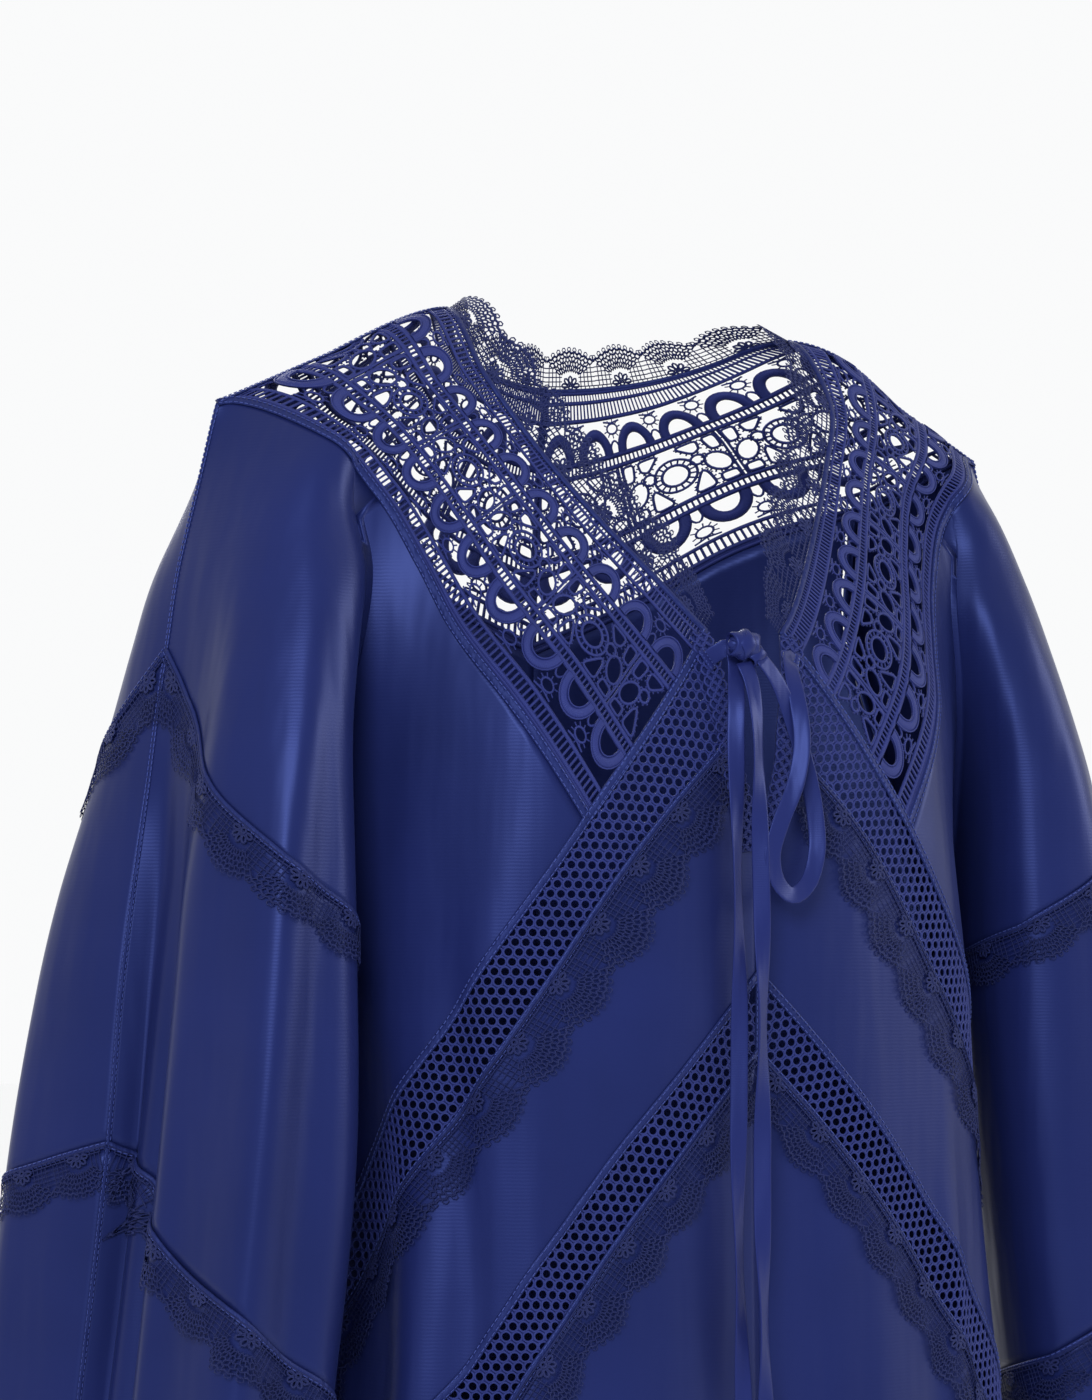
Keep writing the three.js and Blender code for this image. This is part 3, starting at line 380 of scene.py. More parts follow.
# The finer the folds, the more rows and columns of points a panel has.
ARM_COLUMNS = 73
ARM_ROWS = {"upper": 44, "middle": 34, "lower": 24}
SIDE_FRONT_ROWS, SIDE_FRONT_COLUMNS = 72, 34
BACK_ROWS, BACK_COLUMNS = {"above underarm": 30, "below": 60}, 56
FRONT_ROWS = {"upper": 16, "centre": 30, "lower": 16, "foot": 72}
FRONT_COLUMNS = 64
UNDERARM_SHARE = 8 / 13  # of a side front's rows, those above the underarm


class Patch:
    """A stretch of cloth as rows down and columns outwards, that can be read anywhere in it."""

    def __init__(self, spots, side, face):
        self.spots = spots * np.array([side, 1, 1])
        down, right = np.gradient(self.spots, axis=0), np.gradient(self.spots, axis=1)
        self.normal = unit(np.cross(down, right) * side * face)

    def read(self, u, v):
        """Points and normals at shares u of its width and v of its height."""
        rows, columns = self.spots.shape[:2]
        i = np.clip(v, 0, 1) * (rows - 1)
        j = np.clip(u, 0, 1) * (columns - 1)
        i0, j0 = np.minimum(i.astype(int), rows - 2), np.minimum(j.astype(int), columns - 2)
        di, dj = (i - i0)[:, None], (j - j0)[:, None]
        both = []
        for field in (self.spots, self.normal):
            top = field[i0, j0] * (1 - dj) + field[i0, j0 + 1] * dj
            foot = field[i0 + 1, j0] * (1 - dj) + field[i0 + 1, j0 + 1] * dj
            both.append(top * (1 - di) + foot * di)
        return both


def run_along(points):
    """How far along a line each of its points is."""
    steps = np.linalg.norm(np.diff(points, axis=0), axis=1)
    return np.concatenate([[0], np.cumsum(steps)])


def read_along(places, run, points):
    """A line's points, or any values kept for each of them, at places along it."""
    return np.stack([np.interp(places, run, column) for column in points.T], axis=1)


def curve_points(points, places):
    """Places from 0 to 1 along a smooth curve through the points, evenly by length."""
    p = np.array([points[0], *points, points[-1]], float)
    t = np.linspace(0, 1, 40, endpoint=False)[:, None]
    pieces = []
    for k in range(1, len(p) - 2):
        m0, m1 = (p[k + 1] - p[k - 1]) / 2, (p[k + 2] - p[k]) / 2
        pieces.append(hermite(p[k], m0, p[k + 1], m1, t))
    dense = np.vstack([*pieces, p[-1:]])
    run = run_along(dense)
    return read_along(np.asarray(places) * run[-1], run, dense)


def carried(name, mesh):
    """A piece of this mesh, riding on the garment."""
    piece = bpy.data.objects.new(name, mesh)
    bpy.context.collection.objects.link(piece)
    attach(piece, "root")
    return piece


def mesh_object(name, points, faces, material):
    mesh = bpy.data.meshes.new(name)
    mesh.from_pydata([tuple(p) for p in np.asarray(points) * MM], [], faces)
    mesh.validate()
    mesh.shade_smooth()
    mesh.materials.append(material)
    return carried(name, mesh)


def grid_faces(rows, columns, flip):
    index = np.arange(rows * columns).reshape(rows, columns)
    corners = [index[:-1, :-1], index[1:, :-1], index[1:, 1:], index[:-1, 1:]]
    quads = np.stack(corners, axis=-1).reshape(-1, 4)
    return (quads[:, ::-1] if flip else quads).tolist()


def tier_depth(tier, a):
    steps = np.linspace(0, 1, len(TIERS[tier]))
    return np.interp(a, steps, TIERS[tier])


def edge_spots(edge, places, side):
    """Across and depth along one of the front's edges; its last point is on the side seam."""
    spots = curve_points(edge, places)
    a = across_at("body", spots[:, 0], spots[:, 1], side)
    a[np.asarray(places) > 0.999] = 1
    return a, spots[:, 1]


def front_patch(side, top, foot, rows, left_x=None):
    """A patch of the front between two edges, each given as across and depth. Its inner side may
    follow the slit, and then its columns close up towards the side seam."""
    t = np.linspace(0, 1, rows)[:, None]
    a = top[0] * (1 - t) + foot[0] * t
    depth = top[1] * (1 - t) + foot[1] * t
    if left_x is not None:
        inner = a[:, :1]
        slit = across_at("body", left_x(depth[:, 0]), depth[:, 0], side)[:, None]
        a = slit + (a - inner) * (1 - slit) / (1 - inner)
    return Patch(cloth("body", np.clip(a, 0, 1), depth, side), side, 1)


def slit_x(depth):
    """Half the slit's width, which narrows to nothing at its foot."""
    (top_x, top), (net_x, net), foot = SLIT
    upper = top_x + (net_x - top_x) * (depth - top) / (net - top)
    return np.where(depth < net, upper, net_x * (1 - smooth((depth - net) / (foot - net))))


def arm_patch(side, face):
    """The upper sleeve, from the lace to the first seam, and the narrow floor of the armhole,
    where body and sleeve are cut in one."""
    a = np.linspace(0, 1, ARM_COLUMNS)
    edge = curve_points(LACE_OUTER[face], np.interp(a, SLEEVE_PLACES, SLEEVE_STARTS[face]))
    edge_side = cloth("sleeve", 0.0, edge[:, 1], side)[..., 0]
    edge_a = np.where(edge[:, 0] > edge_side, across_at("sleeve", edge[:, 0], edge[:, 1], side), 0)
    t = np.linspace(0, 1, ARM_ROWS["upper"])[:, None]
    depth = edge[:, 1] * (1 - t) + face * tier_depth("upper", a) * t
    across = edge_a + (a - edge_a) * smooth(t * 2.5)
    across[:, 0], across[:, -1] = 0, 1
    spots = cloth("sleeve", across, depth, side)
    spots[0] = cloth_at(edge[:, 0], edge[:, 1], side)
    inner = curve_points(LACE_OUTER[face], [BODY_START[face]])[0]
    floor = cloth("body", 1.0, inner[1] * (1 - t[:, 0]) + face * UNDERARM * t[:, 0], side)
    floor[0] = cloth_at(inner[0], inner[1], side)
    return Patch(np.concatenate([floor[:, None], spots], axis=1), side, face)


def side_front_patch(side):
    """The body's part of a side front, between the lace, the side seam and the upper net."""
    t = np.linspace(0, 1, SIDE_FRONT_ROWS)
    left = curve_points(LACE_OUTER[1], BODY_START[1] + (1 - BODY_START[1]) * t)
    left_a = across_at("body", left[:, 0], left[:, 1], side)
    net_top = FRONT_EDGES["upper_top"]
    right = np.interp(t, (0, UNDERARM_SHARE, 1), (left[0, 1], UNDERARM, net_top[-1][1]))
    u = np.linspace(0, 1, SIDE_FRONT_COLUMNS)
    foot_a, foot_depth = edge_spots(net_top[LACE_CORNER:], u, side)
    # the rows bend more and more from a straight line to the net's edge
    bent = t[:, None] ** 3
    a = left_a[:, None] + (1 - left_a[:, None]) * u + (foot_a - left_a[-1] - (1 - left_a[-1]) * u) * bent
    depth = left[:, 1:] + (right[:, None] - left[:, 1:]) * u
    depth += (foot_depth - left[-1, 1] - (right[-1] - left[-1, 1]) * u) * bent
    spots = cloth("body", np.clip(a, 0, 1), depth, side)
    spots[:, 0] = cloth_at(left[:, 0], left[:, 1], side)
    return Patch(spots, side, 1)


def back_patch(side):
    """The body's part of the back, from the yoke down to the hem."""
    edge = curve_points(LACE_OUTER[-1], np.linspace(1, BODY_START[-1], BACK_COLUMNS))
    edge_a = across_at("body", edge[:, 0], edge[:, 1], side)
    upper = np.linspace(0, 1, BACK_ROWS["above underarm"])
    lower = np.linspace(0, 1, BACK_ROWS["below"])[1:]
    upper, lower = (np.concatenate(rows)[:, None] for rows in (
        (upper, np.ones_like(lower)), (np.zeros_like(upper), lower)))
    a = edge_a + (np.linspace(0, 1, BACK_COLUMNS) - edge_a) * smooth(upper * 1.6)
    depth = edge[:, 1] * (1 - upper) - UNDERARM * upper - (HEM - UNDERARM) * lower
    spots = cloth("body", a, depth, side)
    spots[0] = cloth_at(edge[:, 0], edge[:, 1], side)
    return Patch(spots, side, -1)


def silk_panel(name, parts, node):
    """One panel, cut in one from these patches and given the cloth's thickness."""
    points, faces = [], []
    for patch in parts:
        down = patch.spots[1, 1] - patch.spots[0, 1]
        right = patch.spots[1, 1] - patch.spots[1, 0]
        flip = np.dot(np.cross(down, right), patch.normal[1, 1]) < 0
        for face in grid_faces(*patch.spots.shape[:2], flip):
            faces.append([k + len(points) for k in face])
        points += (patch.spots + patch.normal * SILK_THICK / 2).reshape(-1, 3).tolist()
    piece = mesh_object(name, points, faces, silk_satin)
    weld = piece.modifiers.new("weld", "WELD")
    weld.merge_threshold = WELD_REACH
    shell = piece.modifiers.new("cloth thickness", "SOLIDIFY")
    shell.thickness = SILK_THICK * MM
    shell.offset = -1
    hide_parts(node)


SIDES = {1: "left", -1: "right"}
FACES = {1: "front", -1: "back"}
patches = {}
for side, hand in SIDES.items():
    patches["side_front", side] = side_front_patch(side)
    patches["back", side] = back_patch(side)
    for face, word in FACES.items():
        panel = "side_front" if face > 0 else "back"
        arm = patches["arm", face, side] = arm_patch(side, face)
        silk_panel(f"silk_{panel}_{hand}", [patches[panel, side], arm], f"{panel}_{hand}")
        a = np.linspace(0, 1, ARM_COLUMNS)
        upper, lower, cuff = tier_depth("upper", a), tier_depth("lower", a), np.full(len(a), CUFF)
        for tier, start, end in (("middle", upper, lower), ("lower", lower, cuff)):
            t = np.linspace(0, 1, ARM_ROWS[tier])[:, None]
            patch = Patch(cloth("sleeve", a, face * (start * (1 - t) + end * t), side), side, face)
            patches[tier, word, side] = patch
            silk_panel(f"silk_sleeve_{tier}_{word}_{hand}", [patch], f"sleeve_{tier}_{word}_{hand}")
    columns = np.linspace(0, 1, FRONT_COLUMNS)
    edges = {key: edge_spots(edge, columns, side) for key, edge in FRONT_EDGES.items()}
    for name, top, foot, left_x in (
        ("upper", "upper_top", "upper_foot", slit_x),
        ("centre", "upper_foot", "lower_top", slit_x),
        ("lower", "lower_top", "lower_foot", None),
        ("foot", "lower_foot", "hem", None),
    ):
        patches[name, side] = front_patch(side, edges[top], edges[foot], FRONT_ROWS[name], left_x)
    silk_panel(f"silk_centre_front_{hand}", [patches["centre", side]], f"centre_front_{hand}")
silk_panel("silk_lower_front", [patches["foot", 1], patches["foot", -1]], "lower_front")


# ---- Repeats ---------------------------------------------------------------------------------
# Lace, net and edging are worked in repeats. One repeat is drawn flat in mm (along, across,
# height), repeated along a line by Geometry Nodes, and laid on the cloth.
def repeat_tree():
    """One drawing repeated in a line, in a thread's material."""
    tree = bpy.data.node_groups.new("Worked repeat", "GeometryNodeTree")
    face = tree.interface
    face.new_socket("Repeat", in_out="INPUT", socket_type="NodeSocketGeometry")
    face.new_socket("Count", in_out="INPUT", socket_type="NodeSocketInt")
    face.new_socket("Step", in_out="INPUT", socket_type="NodeSocketVector")
    face.new_socket("Thread", in_out="INPUT", socket_type="NodeSocketMaterial")
    face.new_socket("Lace", in_out="OUTPUT", socket_type="NodeSocketGeometry")
    given = tree.nodes.new("NodeGroupInput").outputs
    line = add_node(tree, "GeometryNodeMeshLine", [("Count", given["Count"]), ("Offset", given["Step"])])
    placed = add_node(tree, "GeometryNodeInstanceOnPoints",
                      [("Points", line.outputs["Mesh"]), ("Instance", given["Repeat"])])
    real = add_node(tree, "GeometryNodeRealizeInstances", [("Geometry", placed.outputs["Instances"])])
    thread = add_node(tree, "GeometryNodeSetMaterial",
                      [("Geometry", real.outputs["Geometry"]), ("Material", given["Thread"])])
    tree.links.new(thread.outputs["Geometry"], tree.nodes.new("NodeGroupOutput").inputs["Lace"])
    return tree


worked_repeat = repeat_tree()
CUT_SLACK = 0.8  # how far past its cut end a thread may reach


class Drawing:
    """One repeat, drawn as raised threads. Each keeps its run along the thread for the stitches."""

    def __init__(self):
        self.points, self.faces, self.run = [], [], []

    def thread(self, path, width, height=None, sides=4, lift=0.0, closed=False):
        """A thread along a path, this wide and high, or four fifths as high as wide."""
        path = np.asarray(path, float)
        if closed:
            path = np.vstack([path, path[:1]])
        if path.shape[1] == 2:
            path = np.column_stack([path, np.zeros(len(path))])
        height = width * 0.8 if height is None else height
        wide = np.broadcast_to(np.asarray(width, float), (len(path),))
        if closed:
            ahead = np.vstack([path[1:], path[1:2]]) - np.vstack([path[-2:-1], path[:-1]])
        else:
            ahead = np.gradient(path, axis=0)
        ahead = unit(ahead[:, :2])
        right = np.column_stack([-ahead[:, 1], ahead[:, 0]])
        turn = (np.arange(sides) + 0.5) / sides * 2 * np.pi
        ring = np.zeros((len(path), sides, 3))
        out = np.cos(turn)[None, :, None] * wide[:, None, None] / 2
        ring[..., :2] = path[:, None, :2] + right[:, None] * out
        ring[..., 2] = path[:, None, 2] + lift + np.sin(turn)[None] * height / 2
        start = len(self.points)
        self.points += ring.reshape(-1, 3).tolist()
        self.run += np.repeat(run_along(path), sides).tolist()
        for k in range(len(path) - 1):
            for s in range(sides):
                a, b = start + k * sides + s, start + k * sides + (s + 1) % sides
                self.faces.append((a, b, b + sides, a + sides))

    def laid(self, name, length, step, material, slot, place):
        """The repeat worked along a length, cut off at its end, then laid on the cloth by place."""
        mesh = bpy.data.meshes.new(name)
        mesh.from_pydata(self.points, [], self.faces)
        mesh.attributes.new("run", "FLOAT", "POINT").data.foreach_set("value", self.run)
        flat = bpy.data.objects.new(name, mesh)
        bpy.context.collection.objects.link(flat)
        worked = flat.modifiers.new("worked repeat", "NODES")
        worked.node_group = worked_repeat
        given = {"Count": math.ceil(length / step - 0.01), "Step": (step, 0.0, 0.0), "Thread": material}
        for socket in worked_repeat.interface.items_tree:
            if socket.item_type == "SOCKET" and socket.name in given:
                worked[socket.identifier] = given[socket.name]
        flat.update_tag()
        seen = flat.evaluated_get(bpy.context.evaluated_depsgraph_get())
        done = bpy.data.meshes.new_from_object(seen)
        bpy.data.objects.remove(flat)
        spots = np.empty(len(done.vertices) * 3)
        done.vertices.foreach_get("co", spots)
        spots = spots.reshape(-1, 3)
        laid, inside = place(spots)
        inside &= spots[:, 0] < length + CUT_SLACK
        done.vertices.foreach_set("co", (laid * MM).ravel())
        trimmed = bmesh.new()
        trimmed.from_mesh(done)
        trimmed.verts.ensure_lookup_table()
        beyond = [trimmed.verts[k] for k in np.flatnonzero(~inside)]
        bmesh.ops.delete(trimmed, geom=beyond, context="VERTS")
        trimmed.to_mesh(done)
        trimmed.free()
        # a drawing laid as its mirror image would be inside out
        middle = np.array([length / 2, 6.0, 0.0])
        laid = place(np.vstack([middle, middle + np.eye(3)]))[0]
        if np.linalg.det(laid[1:] - laid[0]) < 0:
            done.flip_normals()
        done.shade_smooth()
        return carried(name, done)


def squared(patch):
    """Lays a drawing along a patch and square to it, at true size, and cuts it off where the
    patch ends. Gives also the patch's length, its width and how far its ends slant."""
    middle = patch.spots.mean(axis=0)
    run = run_along(middle)
    ahead = unit(np.gradient(middle, axis=0))
    down = patch.spots[-1] - patch.spots[0]
    slant = (down * ahead).sum(axis=1)
    width = np.linalg.norm(down - ahead * slant[:, None], axis=1)
    places = np.linspace(0, 1, len(run))

    def place(flat):
        first = np.interp(flat[:, 0], run, places)
        v = flat[:, 1] / np.interp(first, places, width)
        along = flat[:, 0] - (v - 0.5) * np.interp(first, places, slant)
        u = np.interp(along, run, places)
        inside = (v > -0.01) & (v < 1.01) & (along > -0.5) & (along < run[-1] + 0.5)
        spot, normal = patch.read(u, v)
        return spot + normal * flat[:, 2:3], inside

    return place, run[-1], width.max(), abs(slant).max()


def arc(centre, radius, start=0.0, stop=360.0, count=16, squash=1.0, tilt=0.0):
    """Points round a circle or a tilted oval, from one angle to another."""
    turn = np.radians(np.linspace(start, stop, count, endpoint=stop - start < 360))
    x, y = radius * np.cos(turn), radius * squash * np.sin(turn)
    lean = math.radians(tilt)
    return np.column_stack([centre[0] + x * math.cos(lean) - y * math.sin(lean),
                            centre[1] + x * math.sin(lean) + y * math.cos(lean)])


def thread_material(name, colour, deep, roughness, stitch_mm):
    """Embroidery thread: nearly matt, with a soft sheen, and crossed by its stitches all along."""
    material, tree = new_material(name)
    run = add_node(tree, "ShaderNodeAttribute", attribute_name="run")
    along = add_node(tree, "ShaderNodeCombineXYZ", [("X", run.outputs["Fac"])])
    stitch = add_node(tree, "ShaderNodeTexWave", [("Vector", along.outputs["Vector"])],
                      Scale=1 / (stitch_mm * 3.2), Distortion=0.4)
    place = add_node(tree, "ShaderNodeTexCoord").outputs["Object"]
    cloud = add_node(tree, "ShaderNodeTexNoise", [("Vector", place)], Scale=60.0, Detail=3.0)
    tone = add_node(tree, "ShaderNodeMix", [(0, cloud.outputs["Fac"])], data_type="RGBA")
    tone.inputs[6].default_value = srgb(deep)
    tone.inputs[7].default_value = srgb(colour)
    bump = add_node(tree, "ShaderNodeBump", [("Height", stitch.outputs["Fac"])],
                    Strength=0.5, Distance=0.0003)
    skin = add_node(tree, "ShaderNodeBsdfPrincipled",
                    [("Base Color", tone.outputs[2]), ("Normal", bump.outputs["Normal"])],
                    Roughness=roughness)
    skin.inputs["Specular Tint"].default_value = srgb("#93a5f0")
    skin.inputs["Sheen Weight"].default_value = 0.10
    skin.inputs["Sheen Tint"].default_value = srgb("#4a5ab8")
    add_node(tree, "ShaderNodeOutputMaterial", [("Surface", skin.outputs["BSDF"])])
    return material


# ---- Guipure bands ---------------------------------------------------------------------------
# Heavy chemical lace: padded cords, ladders and cogged rings of viscose thread, linked by bars,
# with nothing between them. It goes from the back neck over the shoulders to the V.
CELL = 30.0
BAND_ROWS, BAND_COLUMNS = 141, 34
# padded viscose, nearly matt, its fine stitches crossing each cord
guipure_thread = thread_material("guipure thread", "#1c2258", "#131843", 0.6, 0.9)


def guipure_repeat():
    """Two cells, 60 mm along and 135 mm across from the neck's edge."""
    lace = Drawing()
    span = 2 * CELL

    def rope(across, width, height):
        s = np.linspace(0, span, 17)
        lace.thread(np.column_stack([s, np.full(len(s), across)]), width, height, sides=5)

    def ladder(start, stop, pitch, width):
        """Bars from one rope to the next."""
        count = round(span / pitch)
        for k in range(count):
            s = (k + 0.5) * span / count
            lace.thread([(s, start), (s, stop)], width, width * 0.8)

    def cogs(path, reach, pitch, width):
        """Short bars outwards all round a ring."""
        ring = np.vstack([path, path[:1]])
        run = run_along(ring)
        for spot in read_along(np.arange(pitch / 2, run[-1], pitch), run, ring):
            away = unit(spot - ring.mean(axis=0))
            lace.thread([spot, spot + away * reach], width, width * 0.8, lift=-0.1)

    def rounded(corners):
        """A ring with these corners, each turned in a small curve."""
        corners = np.array(corners, float)
        closed = np.vstack([corners[-1:], corners, corners[:2]])
        path = []
        for k in range(1, len(corners) + 1):
            before, here, after = closed[k - 1], closed[k], closed[k + 1]
            start, stop = here + (before - here) * 0.32, here + (after - here) * 0.32
            t = np.linspace(0, 1, 5)[:, None]
            path.append((1 - t) ** 2 * start + 2 * t * (1 - t) * here + t * t * stop)
        return np.vstack(path)

    for across, width, height in (
        (1.0, 2.4, 1.8), (5.6, 2.2, 1.5), (15.2, 2.8, 1.8), (39.6, 3.6, 2.1), (46.6, 3.2, 2.0),
        (88.2, 3.2, 2.0), (95.2, 3.6, 2.1), (120.2, 2.8, 1.8), (129.6, 3.2, 1.7), (131.4, 3.0, 0.9),
        (133.2, 3.2, 1.7),
    ):
        rope(across, width, height)
    for start, stop, pitch, width in (
        (1.5, 5.6, 2.7, 1.3), (5.6, 15.0, 3.2, 1.7), (40.5, 45.5, 2.9, 1.5), (89.5, 94.8, 2.9, 1.5),
        (120.8, 129.4, 3.2, 1.7),
    ):
        ladder(start, stop, pitch, width)

    # two rows of padded arches, back to back, with small cogged rings between their tops
    for side, flat, turn, row in ((-1, 38.6, 360, (22.5, 17.6)), (1, 96.4, 0, (112.5, 117.6))):
        for cell in (0.5, 1.5):
            s = cell * CELL
            lace.thread(arc((s, flat), 10.0, 180, turn, 15, squash=1.40), 6.6, 2.4, sides=8, lift=0.3)
            lace.thread(arc((s, flat), 7.4, 180, turn, 13, squash=1.46), 1.1, 1.1, lift=1.1)
            lace.thread(arc((s, flat), 12.6, 180, turn, 15, squash=1.36), 1.1, 1.1, lift=1.0)
        for cell in (0, 1):
            s = cell * CELL + 0.01
            hole = arc((s, row[0]), 4.2, count=12, squash=0.8)
            lace.thread(hole, 1.6, 1.4, closed=True)
            cogs(hole, 2.8, 2.3, 1.0)
            lace.thread(arc((s, flat), 3.6, 180, turn, 9, squash=2.3), 1.7, 1.4)
            lace.thread([(s - 6.5, row[1]), (s, row[1] + 1.2 * -side), (s + 6.5, row[1])], 1.5)
    # rings, seeds and leaves of the middle, and the gaps beside the ropes
    middle = 67.5
    ring = arc((0, middle), 7.3, count=20)
    lace.thread(ring, 2.2, 1.8, closed=True)
    cogs(ring, 3.9, 2.7, 1.4)
    lace.thread(arc((0, middle), 11.4, count=24), 2.0, 1.6, closed=True)
    for along, across, radius, squash, tilt, reach in (
        (13.6, 63.2, 3.6, 1.0, 0, 1.6),
        (22.2, 70.0, 5.6, 1.45, -24, 2.2),
    ):
        for s, lean in ((along, tilt), (span - along, -tilt)):
            hole = arc((s, across), radius, count=15, squash=squash, tilt=lean)
            lace.thread(hole, 2.0, 1.6, closed=True)
            cogs(hole, reach, 2.4, 1.3)
    corners = [
        [(4.6, 49.0), (18.0, 49.0), (17.2, 56.2), (12.8, 58.2)],
        [(20.6, 49.0), (28.2, 49.0), (28.0, 60.5), (22.2, 60.0)],
        [(4.6, 86.0), (16.4, 86.0), (15.2, 74.5), (12.6, 71.5)],
        [(19.2, 86.0), (28.2, 86.0), (27.8, 80.0), (19.6, 79.6)],
    ]
    for shape in corners:
        for spots in (shape, [(span - s, t) for s, t in shape]):
            hole = rounded(spots)
            lace.thread(hole, 2.0, 1.6, closed=True)
            cogs(hole, 1.9, 2.6, 1.2)
    for s in (28.9, 31.1):
        lace.thread([(s, 47.5), (s - 0.3, 58), (s, 67.5), (s + 0.3, 78), (s, 87.5)], 1.8)
    return lace


guipure = guipure_repeat()
bands = {}
for face, word, repeats, cut, area in (
    (1, "lace_band_front", 5, (0.135, 0.30), 0.0400),
    (-1, "lace_yoke_back", 3.5, (0.149, 0.29), 0.0360),
):
    places = np.linspace(0, 1, BAND_ROWS)
    neck = curve_points(NECK_EDGE[face], places)[:, None]
    outer = curve_points(LACE_OUTER[face], places)[:, None]
    t = np.linspace(0, 1, BAND_COLUMNS)[None, :, None]
    chart = neck * (1 - t) + outer * t
    length = repeats * 2 * CELL
    for side, hand in SIDES.items():
        # rows run along the band and columns across it
        patch = Patch(cloth_at(chart[..., 0], chart[..., 1], side), side, face)
        bands[face, side] = patch

        def place(flat, patch=patch, length=length):
            spot, normal = patch.read(flat[:, 1] / LACE_WIDTH, flat[:, 0] / length)
            return spot + normal * flat[:, 2:3], np.full(len(flat), True)

        piece = guipure.laid(f"guipure_{word}_{hand}", length, 2 * CELL, guipure_thread, "guipure", place)
        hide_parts(f"{word}_{hand}")


# ---- Net bands -------------------------------------------------------------------------------
# Knotted net with rounded hexagonal holes: a slanting insertion from the V to the side seam, and
# a chevron under it. Its cut edges are turned into a narrow dense binding.
NET_PITCH = 6.0
NET_STRAND = 1.9
NET_HALF_THICK = 0.65
# the same dull thread, drawn close round each hole, so the net shows as even strands
net_thread = thread_material("net thread", "#1c2358", "#141944", 0.62, 0.8)


def net_repeat(width):
    """Two staggered columns of cells; each is a ring between its hexagon and a rounded hole."""
    net = Drawing()
    rise = NET_PITCH * math.sqrt(3)
    rows = math.ceil(width / rise)
    side = NET_PITCH / math.sqrt(3)
    corner = np.radians(np.arange(6) * 60 + 30)
    hexagon = np.column_stack([np.cos(corner), np.sin(corner)]) * side
    turn = np.radians(np.arange(12) * 30 + 30)
    hole = np.column_stack([np.cos(turn), np.sin(turn)]) * (NET_PITCH - NET_STRAND) / 2
    for row in range(rows):
        for shift in (0, 1):
            centre = np.array([shift * NET_PITCH / 2, (row + shift / 2 + 0.25) * width / rows])
            start = len(net.points)
            # the strand is widest half way through, so the hole is smallest there
            for ring, height in (
                (hexagon, 0.0), (hole * 1.14, NET_HALF_THICK), (hole * 0.93, 0.0),
                (hole * 1.14, -NET_HALF_THICK),
            ):
                net.points += [(*(centre + p), height) for p in ring]
            net.run += [0.0] * (len(net.points) - start)
            for k in range(6):
                a, b = start + k, start + (k + 1) % 6
                top, foot = start + 6, start + 30
                one, two, three = 2 * k, (2 * k + 1) % 12, (2 * k + 2) % 12
                net.faces += [(a, b, top + two), (a, top + two, top + one), (b, top + three, top + two)]
                net.faces += [(b, a, foot + two), (a, foot + one, foot + two), (b, foot + two, foot + three)]
            for k in range(12):
                after = (k + 1) % 12
                for low, high in ((start + 6, start + 18), (start + 18, start + 30)):
                    net.faces.append((low + k, low + after, high + after, high + k))
    return net


for level in ("upper", "lower"):
    for side, hand in SIDES.items():
        place, length, width, slant = squared(patches[level, side])
        piece = net_repeat(width).laid(f"net_{level}_{hand}", length + slant, NET_PITCH, net_thread,
                                       "netting", place)
        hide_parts(f"net_band_{level}_{hand}")

# ---- Scalloped edgings -----------------------------------------------------------------------
# Fine galloon lace caught in the seams: fans of looped thread round a small dense flower, square
# mesh between the flowers and picots round the edge. It lies on the piece below its seam.
SCALLOP = 36.0
EDGING_DROP = 17.0
SCALLOP_DEPTH = 5.8
EDGING_LIFT = 2.1
EDGING_RIPPLE = 1.1
HEADING = 3.0
GROUND_CELL = 2.6
GROUND_SLOPE = 0.73  # how fast the ground's foot rises between two scallops' fans
FANS = (1.0, 0.86, 0.72, 0.58, 0.44)
# finer and darker, because its loops shade each other
edging_thread = thread_material("edging thread", "#11163f", "#0b0e2c", 0.66, 0.7)


def scallop_edge(p):
    return np.stack([SCALLOP * p, EDGING_DROP + SCALLOP_DEPTH * np.sin(np.pi * p)], axis=-1)


